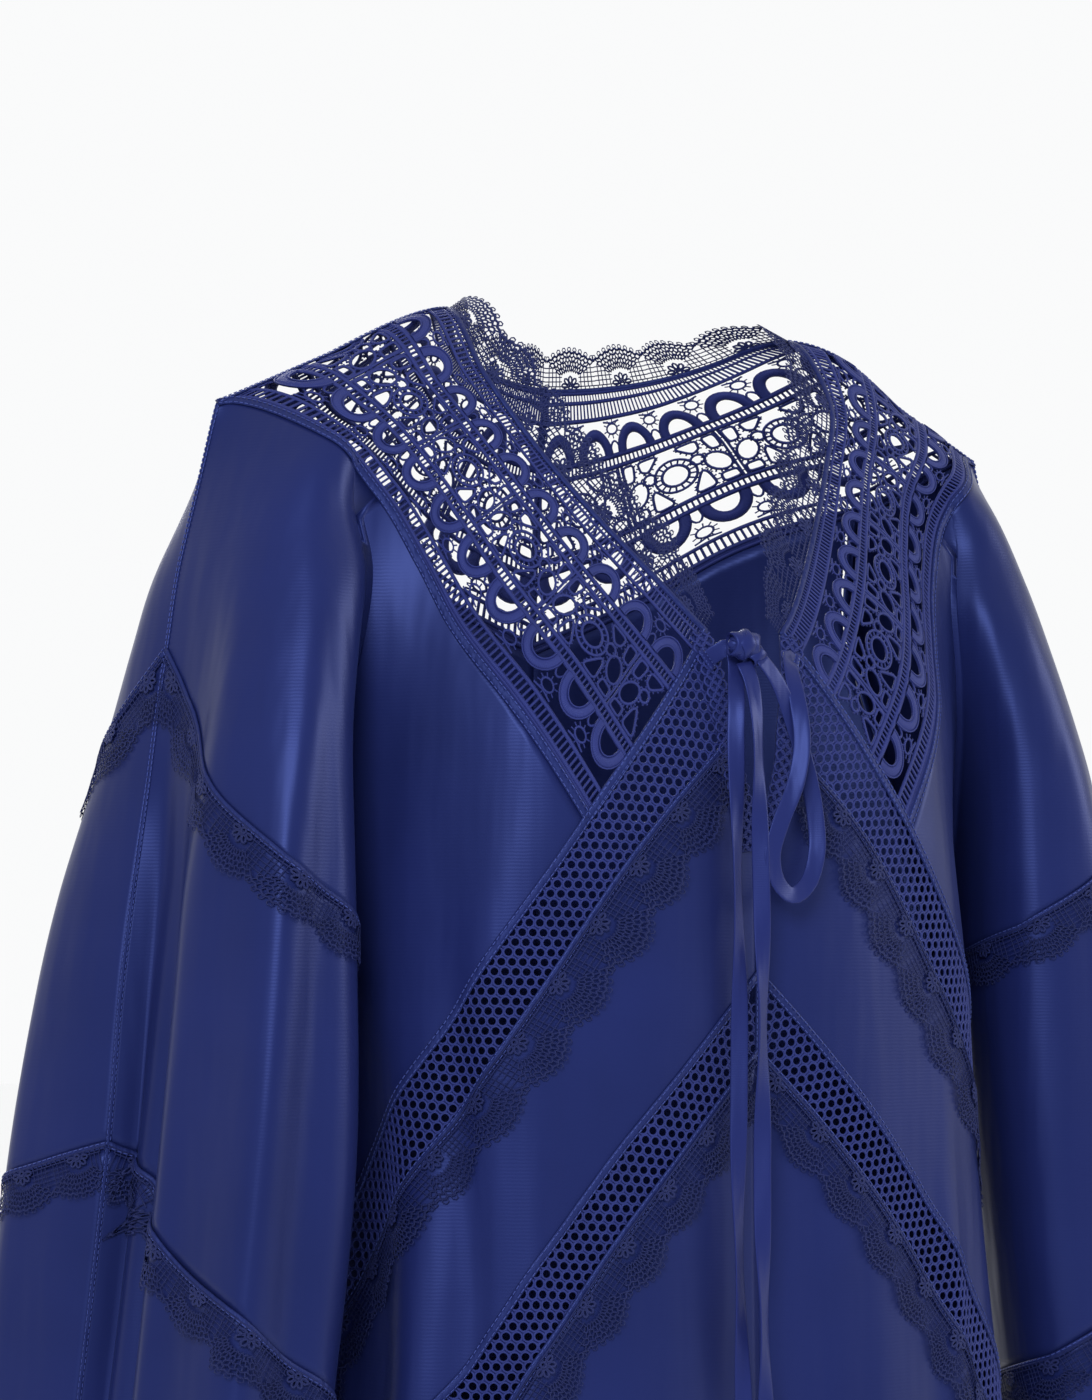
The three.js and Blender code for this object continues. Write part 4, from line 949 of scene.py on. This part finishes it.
def edging_repeat(bold=1.0):
    """One scallop; its fans, bars and picots are this much bolder than the finest galloon's."""
    lace = Drawing()
    base = np.array([SCALLOP / 2, 4.0])
    p = np.linspace(0.0, 1.0, 19)
    for k, reach in enumerate(FANS):
        line = base + (scallop_edge(p) - base) * reach
        # small loops along the fan
        line[1:-1:2, 1] += 0.6
        line[2:-1:2, 1] -= 0.6
        lace.thread(line, (1.4 if k == 0 else 1.1) * bold, 0.6, sides=3)
    for k, (outer, inner) in enumerate(zip(FANS, FANS[1:])):
        for place in (np.arange(13) + 0.5 * (k % 2)) / 12.5:
            rim = scallop_edge(place) - base
            lace.thread([base + rim * outer, base + rim * inner], 0.85 * bold, 0.45, sides=3)
    for place in (np.arange(9) + 0.5) / 9:
        rim = scallop_edge(place)
        picot = arc(rim + unit(rim - base) * 1.3, 1.3, count=6)
        lace.thread(picot, 0.65 * bold, 0.5, sides=3, closed=True)
    # five round petals about a bud, worked nearly solid
    bud = base - (0, 1.4)
    lace.thread(arc(bud, 1.5, count=6), 1.8, 1.3, closed=True)
    for angle in (10, 50, 90, 130, 170):
        lean = np.array([math.cos(math.radians(angle)), math.sin(math.radians(angle))])
        petal = arc(bud + lean * 4.2, 2.0, count=7, squash=0.62, tilt=angle)
        lace.thread(petal, 1.6, 0.9, closed=True)
    # half of the square ground on either side, cut off slantwise by the fans
    for corner, away in ((0.0, 1), (SCALLOP, -1)):
        for reach in GROUND_CELL * np.arange(1, 5):
            along, top = corner + away * reach, EDGING_DROP - GROUND_SLOPE * reach
            lace.thread([(along, HEADING), (along, top)], 0.6 * bold, 0.5, sides=3)
            across = HEADING + reach
            along = corner + away * min(12.0, (EDGING_DROP - across) / GROUND_SLOPE)
            lace.thread([(corner, across), (along, across)], 0.6 * bold, 0.5, sides=3)
    for across, wide in ((0.5, 1.2), (HEADING, 0.9)):
        s = np.linspace(0, SCALLOP, 9)
        lace.thread(np.column_stack([s, np.full(len(s), across)]), wide, 0.8, sides=3)
    for s in (np.arange(12) + 0.5) * SCALLOP / 12:
        lace.thread([(s, 0.5), (s, HEADING)], 0.8, 0.6, sides=3)
    return lace


edging = edging_repeat()


def hang_edging(name, patch, side, node):
    """Laid square to a panel's upper edge and down over it, in whole scallops."""
    top = patch.spots[0]
    run = run_along(top)
    lean = (unit(patch.spots[1] - top) * unit(np.gradient(top, axis=0))).sum(axis=1)
    square = np.sqrt(np.maximum(0.2, 1 - lean ** 2))
    fall = np.linalg.norm(np.diff(patch.spots, axis=0), axis=2).sum(axis=0)
    places = np.linspace(0, 1, len(top))
    length = round(run[-1] / SCALLOP) * SCALLOP

    def place(flat):
        along = flat[:, 0] / length * run[-1]
        first = np.interp(along, run, places)
        reach = flat[:, 1] / np.interp(first, places, square)
        along = along - reach * np.interp(first, places, lean)
        u = np.interp(along, run, places)
        spot, normal = patch.read(u, reach / np.interp(u, places, fall))
        # its free edge ripples a little
        wave = np.sin(flat[:, 0] / SCALLOP * 2 * np.pi + 0.7 * side)
        ripple = EDGING_RIPPLE * wave * (flat[:, 1] / 25) ** 2
        inside = (along > -0.4) & (along < run[-1] + 0.4)
        return spot + normal * (flat[:, 2] + EDGING_LIFT + ripple)[:, None], inside

    piece = edging.laid(name, length, SCALLOP, edging_thread, "edging", place)
    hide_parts(node)


for side, hand in SIDES.items():
    for level, patch in (("upper", patches["centre", side]), ("lower", patches["foot", side])):
        hang_edging(f"trim_net_{level}_{hand}", patch, side, f"edging_net_{level}_{hand}")
    for word in FACES.values():
        for level, tier in (("upper", "middle"), ("lower", "lower")):
            hang_edging(f"trim_sleeve_{level}_{word}_{hand}", patches[tier, word, side], side,
                        f"edging_sleeve_{level}_{word}_{hand}")

# Round the neck the edging is bolder, and deeper on the front (1) than on the back (-1).
NECK_SCALLOPS = {1: 7, -1: 4}
NECK_DEEPER = {1: 1.3, -1: 1}
NECK_BOLD = 1.45
NECK_RISE = 0.35  # how much it stands up, as a share of its reach inwards
TIP_SHORTER = 0.5  # how much depth the front's lose in their last fifth, at the V
neck_galloon = edging_repeat(NECK_BOLD)


def neck_edging(name, face, side, node):
    """Stands on from the lace's inner edge towards the neck."""
    band = bands[face, side]
    length = NECK_SCALLOPS[face] * SCALLOP

    def place(flat):
        u = flat[:, 0] / length
        edge, normal = band.read(np.zeros_like(u), u)
        outer, _ = band.read(np.full_like(u, 12 / LACE_WIDTH), u)
        away = unit(edge - outer)
        away[:, 2] += NECK_RISE * (1 - u if face > 0 else 1)
        reach = 1 + (NECK_DEEPER[face] - 1) * smooth(u / 0.2)
        if face > 0:
            reach *= 1 - TIP_SHORTER * smooth((u - 0.8) / 0.2)
        spot = edge + unit(away) * (flat[:, 1] * reach)[:, None] + normal * flat[:, 2:3]
        return spot, np.full(len(flat), True)

    piece = neck_galloon.laid(name, length, SCALLOP, edging_thread, "edging", place)
    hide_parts(node)


for side, hand in SIDES.items():
    neck_edging(f"trim_neck_front_{hand}", 1, side, f"edging_neck_front_{hand}")
    neck_edging(f"trim_neck_back_{hand}", -1, side, "edging_neck_back")

# ---- Seams, bindings and hems ----------------------------------------------------------------
# The pieces meet in narrow tapes of the same silk, stitched down along both edges. The neckline,
# the slit, the cuffs and the foot are bound or turned up and stitched.
# plain-woven silk, duller than the satin, with the small puckers of its stitching
TAPE = {"base": "#161d49", "deep": "#10163a", "roughness": 0.5, "thread_mm": 0.5, "pucker_mm": 5}
seam_silk = satin("seam tape silk", TAPE)
# sewing thread, paler than the silk, so its stitches stand out
stitch_thread = thread_material("sewing thread", "#36427f", "#2a346c", 0.55, 0.5)
# width, thickness and height over the cloth of each tape, and where its stitches run from its middle
LACE_TAPE = (5.0, 1.3, 0.9, (-1.7, 1.7))
SHOULDER_TAPE = (5.0, 1.2, 0.9, (-1.7, 1.7))
YOKE_TAPE = (4.6, 1.2, 0.8, (-1.5, 1.5))
NET_TAPE = (4.6, 1.3, 0.8, (-1.5, 1.5))
CHEVRON_TAPE = (3.4, 1.2, 0.8, (-1.0, 1.0))
SLEEVE_TAPE = (3.6, 1.6, 1.2, (-1.0,))
PRESSED_SEAM = (2.2, 0.9, 0.4, (-0.9, 0.9))
SIDE_SEAM = (2.4, 1.0, 0.4)
NECK_BINDING = (3.2, 2.2, 0.3)
SLIT_BINDING = (2.4, 1.6, 0.4)
TURNED_HEM = (3.0, 2.0, 0.2)
CUFF_STITCHING = (0.8, 0.5, 0.5, (0.0,))
SLIT_FACING = 10.4
FACING_LIFT = 1.9
GROUND_SINK = 0.9  # how far the dark ground lies under the doubled net
CUFF_ROW = -3  # the row of a lower sleeve's points that the cuff is stitched along
SIDE_SEAM_POINTS = 160
FACING_POINTS = 40
DOUBLED = 0.5  # points nearer than this are one point


def swept(line, facing, width, thick, sides=8, hollow=0.0):
    """A flat strip with rounded edges along a line, its face towards facing. A hollow is the
    depth of the trough down its middle, as a share of its thickness."""
    ahead = unit(np.gradient(line, axis=0))
    wide = unit(np.cross(ahead, facing))
    normal = np.cross(wide, ahead)
    turn = np.arange(sides) / sides * 2 * np.pi
    x = np.sign(np.cos(turn)) * np.abs(np.cos(turn)) ** 0.5 * width / 2
    y = np.sign(np.sin(turn)) * np.abs(np.sin(turn)) ** 0.6 * thick / 2
    y = y - hollow * thick * (1 - (2 * x / width) ** 2) * np.sign(np.sin(turn))
    points = line[:, None] + wide[:, None] * x[None, :, None] + normal[:, None] * y[None, :, None]
    faces = []
    for k in range(len(line) - 1):
        for s in range(sides):
            a, b = k * sides + s, k * sides + (s + 1) % sides
            faces.append((a + sides, b + sides, b, a))
    faces.append(tuple(range(sides)))
    faces.append(tuple((len(line) - 1) * sides + s for s in range(sides))[::-1])
    return points.reshape(-1, 3), faces


def along_line(line, normals, lift):
    """Lays a drawing along a line on the cloth, this high over it, and cuts it off at its ends."""
    run = run_along(line)
    wide = np.cross(unit(np.gradient(line, axis=0)), normals)

    def place(flat):
        spot, normal, across = (read_along(flat[:, 0], run, field) for field in (line, normals, wide))
        inside = (flat[:, 0] > 0) & (flat[:, 0] < run[-1])
        return spot + normal * (flat[:, 2:3] + lift) + across * flat[:, 1:2], inside

    return place, run[-1]


def edge_of(patch, which):
    """The points and normals of one edge of a patch."""
    pick = {"top": 0, "foot": -1, "inner": (slice(None), 0), "outer": (slice(None), -1)}[which]
    return patch.spots[pick], patch.normal[pick]


def joined(*edges):
    """Edges that follow each other, as one without doubled points."""
    line, normals = (np.vstack(parts) for parts in zip(*edges))
    keep = np.concatenate([[True], np.diff(run_along(line)) > DOUBLED])
    return line[keep], normals[keep]


def faced(line, way):
    """A line with the same normal at each of its points."""
    return line, np.tile(np.array(way, float), (len(line), 1))


def seam(name, line, normals, width, thick, lift, stitched=(), step=3.2, slot="silk",
         material=seam_silk):
    """A tape over a seam, and rows of stitches at these places from its middle."""
    points, faces = swept(line + normals * lift, normals, width, thick)
    mesh_object(name, points, faces, material)
    if stitched:
        row = Drawing()
        for across in stitched:
            stitch = [(0.3, across), (step / 2, across), (step - 0.8, across)]
            row.thread(stitch, 0.7, 0.6, sides=3)
        place, length = along_line(line, normals, lift + thick / 2 + 0.1)
        row.laid(f"{name}_stitches", length, step, stitch_thread, slot, place)


for side, hand in SIDES.items():
    front = bands[1, side]
    for face, word in FACES.items():
        seam(f"binding_neck_{word}_{hand}", *edge_of(bands[face, side], "inner"), *NECK_BINDING,
             slot="guipure")
    for face, word in FACES.items():
        seam(f"seam_lace_{word}_{hand}", *edge_of(bands[face, side], "outer"), *LACE_TAPE)
    seam(f"seam_shoulder_{hand}", *edge_of(front, "top"), *SHOULDER_TAPE, slot="guipure")
    seam(f"seam_lace_foot_{hand}", *edge_of(front, "foot"), *LACE_TAPE, slot="guipure")
    for level in ("upper", "lower"):
        for which in ("top", "foot"):
            seam(f"seam_net_{level}_{which}_{hand}", *edge_of(patches[level, side], which), *NET_TAPE,
                 slot="netting")
    for word in FACES.values():
        middle, lower = patches["middle", word, side], patches["lower", word, side]
        for tier, patch in (("upper", middle), ("lower", lower)):
            seam(f"seam_sleeve_{tier}_{word}_{hand}", *edge_of(patch, "top"), *SLEEVE_TAPE)
        seam(f"hem_cuff_{word}_{hand}", *edge_of(lower, "foot"), *TURNED_HEM)
        seam(f"hem_cuff_stitched_{word}_{hand}", lower.spots[CUFF_ROW], lower.normal[CUFF_ROW],
             *CUFF_STITCHING)
    slit, slit_normal = joined(edge_of(patches["upper", side], "inner"),
                               edge_of(patches["centre", side], "inner"))
    seam(f"binding_slit_{hand}", slit, slit_normal, *SLIT_BINDING, slot="netting")
    # the net is doubled beside the slit, over a dark ground
    open_part = slit[:, 2] > -SLIT[2]
    place, length = along_line(slit[open_part], slit_normal[open_part], FACING_LIFT)
    middle = np.zeros((FACING_POINTS, 3))
    middle[:, 0] = np.linspace(0, length, FACING_POINTS)
    ground_normal = place(middle + (0, 0, 1))[0] - place(middle)[0]
    ground = place(middle + (0, -side * SLIT_FACING / 2, -GROUND_SINK))[0]
    seam(f"facing_slit_ground_{hand}", ground, ground_normal, SLIT_FACING, 0.5, 0.0, slot="netting")
    net_repeat(SLIT_FACING).laid(f"facing_slit_net_{hand}", length, NET_PITCH, net_thread, "netting",
                                 lambda flat: place(flat * (1, -side, 1)))
    seam(f"hem_foot_{hand}", *edge_of(patches["foot", side], "foot"), *TURNED_HEM)
    seam(f"hem_foot_back_{hand}", *edge_of(patches["back", side], "foot"), *TURNED_HEM)
    overarm = joined(*(edge_of(patches[key], "outer") for key in (
        ("arm", 1, side), ("middle", "front", side), ("lower", "front", side))))
    seam(f"seam_overarm_{hand}", *overarm, *PRESSED_SEAM, step=3.0)
    depths = np.linspace(UNDERARM, HEM, SIDE_SEAM_POINTS)
    side_line = cloth("body", 1.0, depths, side) * (side, 1, 1)
    seam(f"seam_side_{hand}", *faced(side_line, (side, 0, 0)), *SIDE_SEAM)
FORWARD, BACKWARD = (0, -1, 0), (0, 1, 0)
seam("seam_centre_back_lace", *edge_of(bands[-1, 1], "foot"), *YOKE_TAPE, slot="guipure")
chevron = faced(patches["lower", 1].spots[:, 0], FORWARD)
seam("seam_centre_front_net", *chevron, *CHEVRON_TAPE, slot="netting")
seam("seam_centre_back", *faced(patches["back", 1].spots[:, 0], BACKWARD), *PRESSED_SEAM)
middle_front = patches["centre", 1].spots[:, 0]
below_slit = middle_front[middle_front[:, 2] < -SLIT[2]]
seam("seam_centre_front", *faced(below_slit, FORWARD), *PRESSED_SEAM)

# ---- Ribbon tie ------------------------------------------------------------------------------
# Narrow folded silk ribbon, pressed flat and sewn at both corners of the slit. The left one makes
# a long loop before it comes back to the knot; two ends hang straight down.
RIBBON_WIDTH = 9.0
RIBBON_THICK = 1.3
RIBBON_STEP = 3
ROOT_STRETCH = 22  # how far from its sewn end a ribbon still faces as the cloth does
RIBBON_TURN = 34  # degrees that it turns either way as it hangs
RIBBON_TROUGH = 0.18
KNOT_CENTRE = (-12.3, -140.0, -191.5)
# each turn's half depth and height, its lean in degrees, half its width, and where it lies
KNOT_TURNS = [
    ((4.9, 5.6), 0, 8.2, (0, 0)),
    ((5.6, 6.0), 34, 5.2, (0, 0)),
    ((5.3, 6.6), -38, 4.6, (0, 0)),
    ((3.2, 3.4), 42, 5.0, (7.4, -5.4)),
]
KNOT_CORE = (9.4, 4.6, 5.2)
TURN_STEPS, TURN_SIDES, TURN_HALF_THICK = 28, 10, 1.1
CORE_RINGS, CORE_SIDES = 9, 16
TIE_RIGHT = [
    (-21, -128.6, -195), (-15.5, -132.6, -192), (-13.2, -133.5, -199), (-14.5, -136.5, -209),
    (-17.5, -141.5, -221), (-19.5, -144, -238), (-20, -145.5, -264), (-20, -146, -310),
    (-19, -146, -360), (-20, -146.5, -420), (-21, -147, -480), (-20, -148, -540),
    (-19, -149, -590), (-19, -150, -628),
]
TIE_LOOP = [
    (21.5, -131, -196), (18, -138, -203), (17, -145, -218), (17, -149.5, -240),
    (12, -151.5, -262), (2, -152.5, -283), (-3, -152.5, -300), (1, -152, -314),
    (10, -151, -320), (20, -149.5, -314), (27, -147.5, -297), (27, -145.5, -276),
    (23, -144, -254), (15, -143.8, -230), (6, -143.4, -210), (-3.2, -142.6, -198.2),
]
TIE_END = [
    (-12, -139.8, -200.3), (-9.5, -142.5, -209), (-9, -147, -226), (-9.2, -149.5, -256),
    (-9, -150.5, -300), (-8, -150.5, -350), (-8.5, -151, -410), (-9.5, -151.5, -470),
    (-9, -152, -530), (-8.5, -152.5, -580), (-8.5, -153, -610),
]
# satin ribbon, woven closer than the panels, so its rolled edges catch the light
RIBBON = {"base": "#191f4f", "deep": "#121840", "roughness": 0.36, "thread_mm": 0.6, "pucker_mm": 14}
ribbon_silk = satin("ribbon silk", RIBBON)


def ribbon_line(points):
    """Even short steps along a centripetal curve through the points, and its length."""
    p = np.array(points, float)
    p = np.vstack([2 * p[0] - p[1], p, 2 * p[-1] - p[-2]])
    t = np.linspace(0, 1, 30, endpoint=False)[:, None]
    pieces = []
    for k in range(1, len(p) - 2):
        before, here, after = np.diff(p[k - 1 : k + 3], axis=0)
        gap0, gap1, gap2 = (np.linalg.norm(step) ** 0.5 for step in (before, here, after))
        m0 = before / gap0 - (before + here) / (gap0 + gap1) + here / gap1
        m1 = here / gap1 - (here + after) / (gap1 + gap2) + after / gap2
        pieces.append(hermite(p[k], m0 * gap1, p[k + 1], m1 * gap1, t))
    dense = np.vstack([*pieces, p[-2:-1]])
    run = run_along(dense)
    places = np.linspace(0, run[-1], round(run[-1] / RIBBON_STEP) + 1)
    return read_along(places, run, dense), run[-1]


def ribbon(name, points, facing_root, node, wave):
    """One ribbon that faces forward below its root; a wave is the length of one turn to and fro."""
    line, length = ribbon_line(points)
    run = np.linspace(0, length, len(line))
    towards = np.tile(np.array(FORWARD, float), (len(line), 1))
    if facing_root is not None:
        share = smooth(run / ROOT_STRETCH)[:, None]
        towards = facing_root * (1 - share) + towards * share
    ahead = unit(np.gradient(line, axis=0))
    turn = np.sin(run / wave * 2 * np.pi) * smooth(run / 60)
    turn = math.radians(RIBBON_TURN) * turn[:, None]
    towards = towards * np.cos(turn) + np.cross(ahead, towards) * np.sin(turn)
    # folded in two: rolled edges and a shallow trough between
    points, faces = swept(line, towards, RIBBON_WIDTH, RIBBON_THICK, sides=16, hollow=RIBBON_TROUGH)
    piece = mesh_object(name, points, faces, ribbon_silk)
    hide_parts(node)


# both ribbons are sewn on here, as distance from the centre and depth
ROOT_X, ROOT_DEPTH = 27.0, 200.0
ROOT_LIFT = 1.65
TACK_TAPE = (4.2, 1.0, 1.0, (-1.3, 1.3))
TACK_REACH = 6.2
down = cloth_at(ROOT_X, ROOT_DEPTH + 2) - cloth_at(ROOT_X, ROOT_DEPTH - 2)
outwards = cloth_at(ROOT_X + 1, ROOT_DEPTH) - cloth_at(ROOT_X - 1, ROOT_DEPTH)
out = unit(np.cross(down, outwards))
ribbon_root = cloth_at(ROOT_X, ROOT_DEPTH) + out * ROOT_LIFT
mirrored = np.array([-1, 1, 1])
ribbon("tie_ribbon_right", [ribbon_root * mirrored, *TIE_RIGHT], out * mirrored, "tie_right", 190)
ribbon("tie_ribbon_loop", [ribbon_root, *TIE_LOOP], out, "tie_left_loop", 260)
ribbon("tie_ribbon_end", TIE_END, None, "tie_left_end", -150)
for hand, flip, ahead in (("right", mirrored, TIE_RIGHT[0]), ("left", np.ones(3), TIE_LOOP[0])):
    # a folded tack over the sewn end
    across = unit(np.cross(np.array(ahead) - ribbon_root * flip, out * flip))
    tack = ribbon_root * flip + across * np.linspace(-TACK_REACH, TACK_REACH, 6)[:, None]
    seam(f"tie_tack_{hand}", *faced(tack, out * flip), *TACK_TAPE, 2.0, "ribbon", ribbon_silk)


def knot():
    """Turns of the ribbon pulled tight round a rolled core, as one mesh of fat flat rings."""
    points, faces = [], []

    def closed_rows(rows, count, around):
        """Faces of the last rows of points, which may close into a ring."""
        start = len(points) - rows * count
        for k in range(rows if around else rows - 1):
            here, after = start + k * count, start + (k + 1) % rows * count
            for s in range(count):
                side_by_side = (s + 1) % count
                faces.append((here + s, here + side_by_side, after + side_by_side, after + s))

    for (ry, rz), lean, wide, (x, z) in KNOT_TURNS:
        lean = math.radians(lean)
        for angle in np.linspace(0, 2 * np.pi, TURN_STEPS, endpoint=False):
            out = np.array([0.0, math.cos(angle), math.sin(angle)])
            pinch = 1 - 0.12 * math.cos(angle * 2)
            for roll in np.linspace(0, 2 * np.pi, TURN_SIDES, endpoint=False):
                spot = out * (0, ry, rz) + out * TURN_HALF_THICK * math.sin(roll)
                flat = wide * math.cos(roll) * pinch
                points.append((flat * math.cos(lean) - spot[2] * math.sin(lean) + x, spot[1],
                               flat * math.sin(lean) + spot[2] * math.cos(lean) + z))
        closed_rows(TURN_STEPS, TURN_SIDES, True)
    core = len(points)
    for share in np.linspace(-1, 1, CORE_RINGS):
        size = math.sqrt(max(0.004, 1 - share * share))
        for angle in np.linspace(0, 2 * np.pi, CORE_SIDES, endpoint=False):
            points.append((KNOT_CORE[0] * share, KNOT_CORE[1] * size * math.cos(angle),
                           KNOT_CORE[2] * size * math.sin(angle)))
    closed_rows(CORE_RINGS, CORE_SIDES, False)
    faces.append(tuple(len(points) - 1 - k for k in range(CORE_SIDES)))
    faces.append(tuple(core + k for k in range(CORE_SIDES)))
    piece = mesh_object("tie_knotted_turns", np.array(points) + KNOT_CENTRE, faces, ribbon_silk)
    whole = bmesh.new()
    whole.from_mesh(piece.data)
    bmesh.ops.recalc_face_normals(whole, faces=whole.faces)
    whole.to_mesh(piece.data)
    whole.free()
    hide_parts("tie_knot")


knot()

# ---- Studio ----------------------------------------------------------------------------------
# A pale floor, even white surroundings and soft lamps; the camera stands to the wearer's right.
FLOOR_Z = -1.36
FLOOR_HALF = 30
corners = [(x, y, FLOOR_Z) for x, y in ((-1, -1), (1, -1), (1, 1), (-1, 1))]
floor_mesh = bpy.data.meshes.new("floor")
floor_mesh.from_pydata([(x * FLOOR_HALF, y * FLOOR_HALF, z) for x, y, z in corners], [], [(0, 1, 2, 3)])
floor = bpy.data.objects.new("floor", floor_mesh)
bpy.context.collection.objects.link(floor)
pale, tree = new_material("pale floor")
skin = add_node(tree, "ShaderNodeBsdfPrincipled", Roughness=0.9)
skin.inputs["Base Color"].default_value = (0.97, 0.97, 0.97, 1)
add_node(tree, "ShaderNodeOutputMaterial", [("Surface", skin.outputs["BSDF"])])
floor_mesh.materials.append(pale)

world = bpy.data.worlds.new("white room")
world.use_nodes = True
world.node_tree.nodes["Background"].inputs["Color"].default_value = (0.955, 0.96, 0.965, 1)
world.node_tree.nodes["Background"].inputs["Strength"].default_value = 1.0
bpy.context.scene.world = world
# name, place in metres, width in metres and power in watts
LAMPS = [
    ("key", (-2.0, -2.4, 1.1), 1.2, 110),
    ("side", (2.4, -1.4, 0.6), 1.2, 35),
    ("back", (0.4, 2.6, 1.4), 1.4, 60),
]
CHEST = Vector((0, 0, -0.35))
for name, spot, size, power in LAMPS:
    light = bpy.data.lights.new(name, "AREA")
    light.size = size
    light.energy = power
    lamp = bpy.data.objects.new(name, light)
    lamp.location = spot
    lamp.rotation_euler = (CHEST - Vector(spot)).to_track_quat("-Z", "Y").to_euler()
    bpy.context.collection.objects.link(lamp)

# The camera looks level and 30 degrees across the garment. Then it is turned until the frame's
# middle is this many of its pixels to the left of that line and above it.
LENS_MM, SENSOR_MM = 94.1, 36
FOCAL_PIXELS = 3660  # the lens in pixels of a frame 1092 wide and 1400 high
LEFT_PIXELS, UP_PIXELS = 82, 274
view = bpy.data.cameras.new("camera")
view.lens = LENS_MM
view.sensor_width = SENSOR_MM
view.clip_end = 100
camera = bpy.data.objects.new("camera", view)
camera.location = (-1.0, -1.732, -0.36)
forward, right = Vector((0.5, 0.866, 0)), Vector((0.866, -0.5, 0))
aim = forward - right * (LEFT_PIXELS / FOCAL_PIXELS) + Vector((0, 0, UP_PIXELS / FOCAL_PIXELS))
camera.rotation_euler = aim.to_track_quat("-Z", "Y").to_euler()
bpy.context.collection.objects.link(camera)
bpy.context.scene.camera = camera
bpy.context.scene.view_settings.view_transform = "Standard"
bpy.context.scene.view_settings.look = "None"
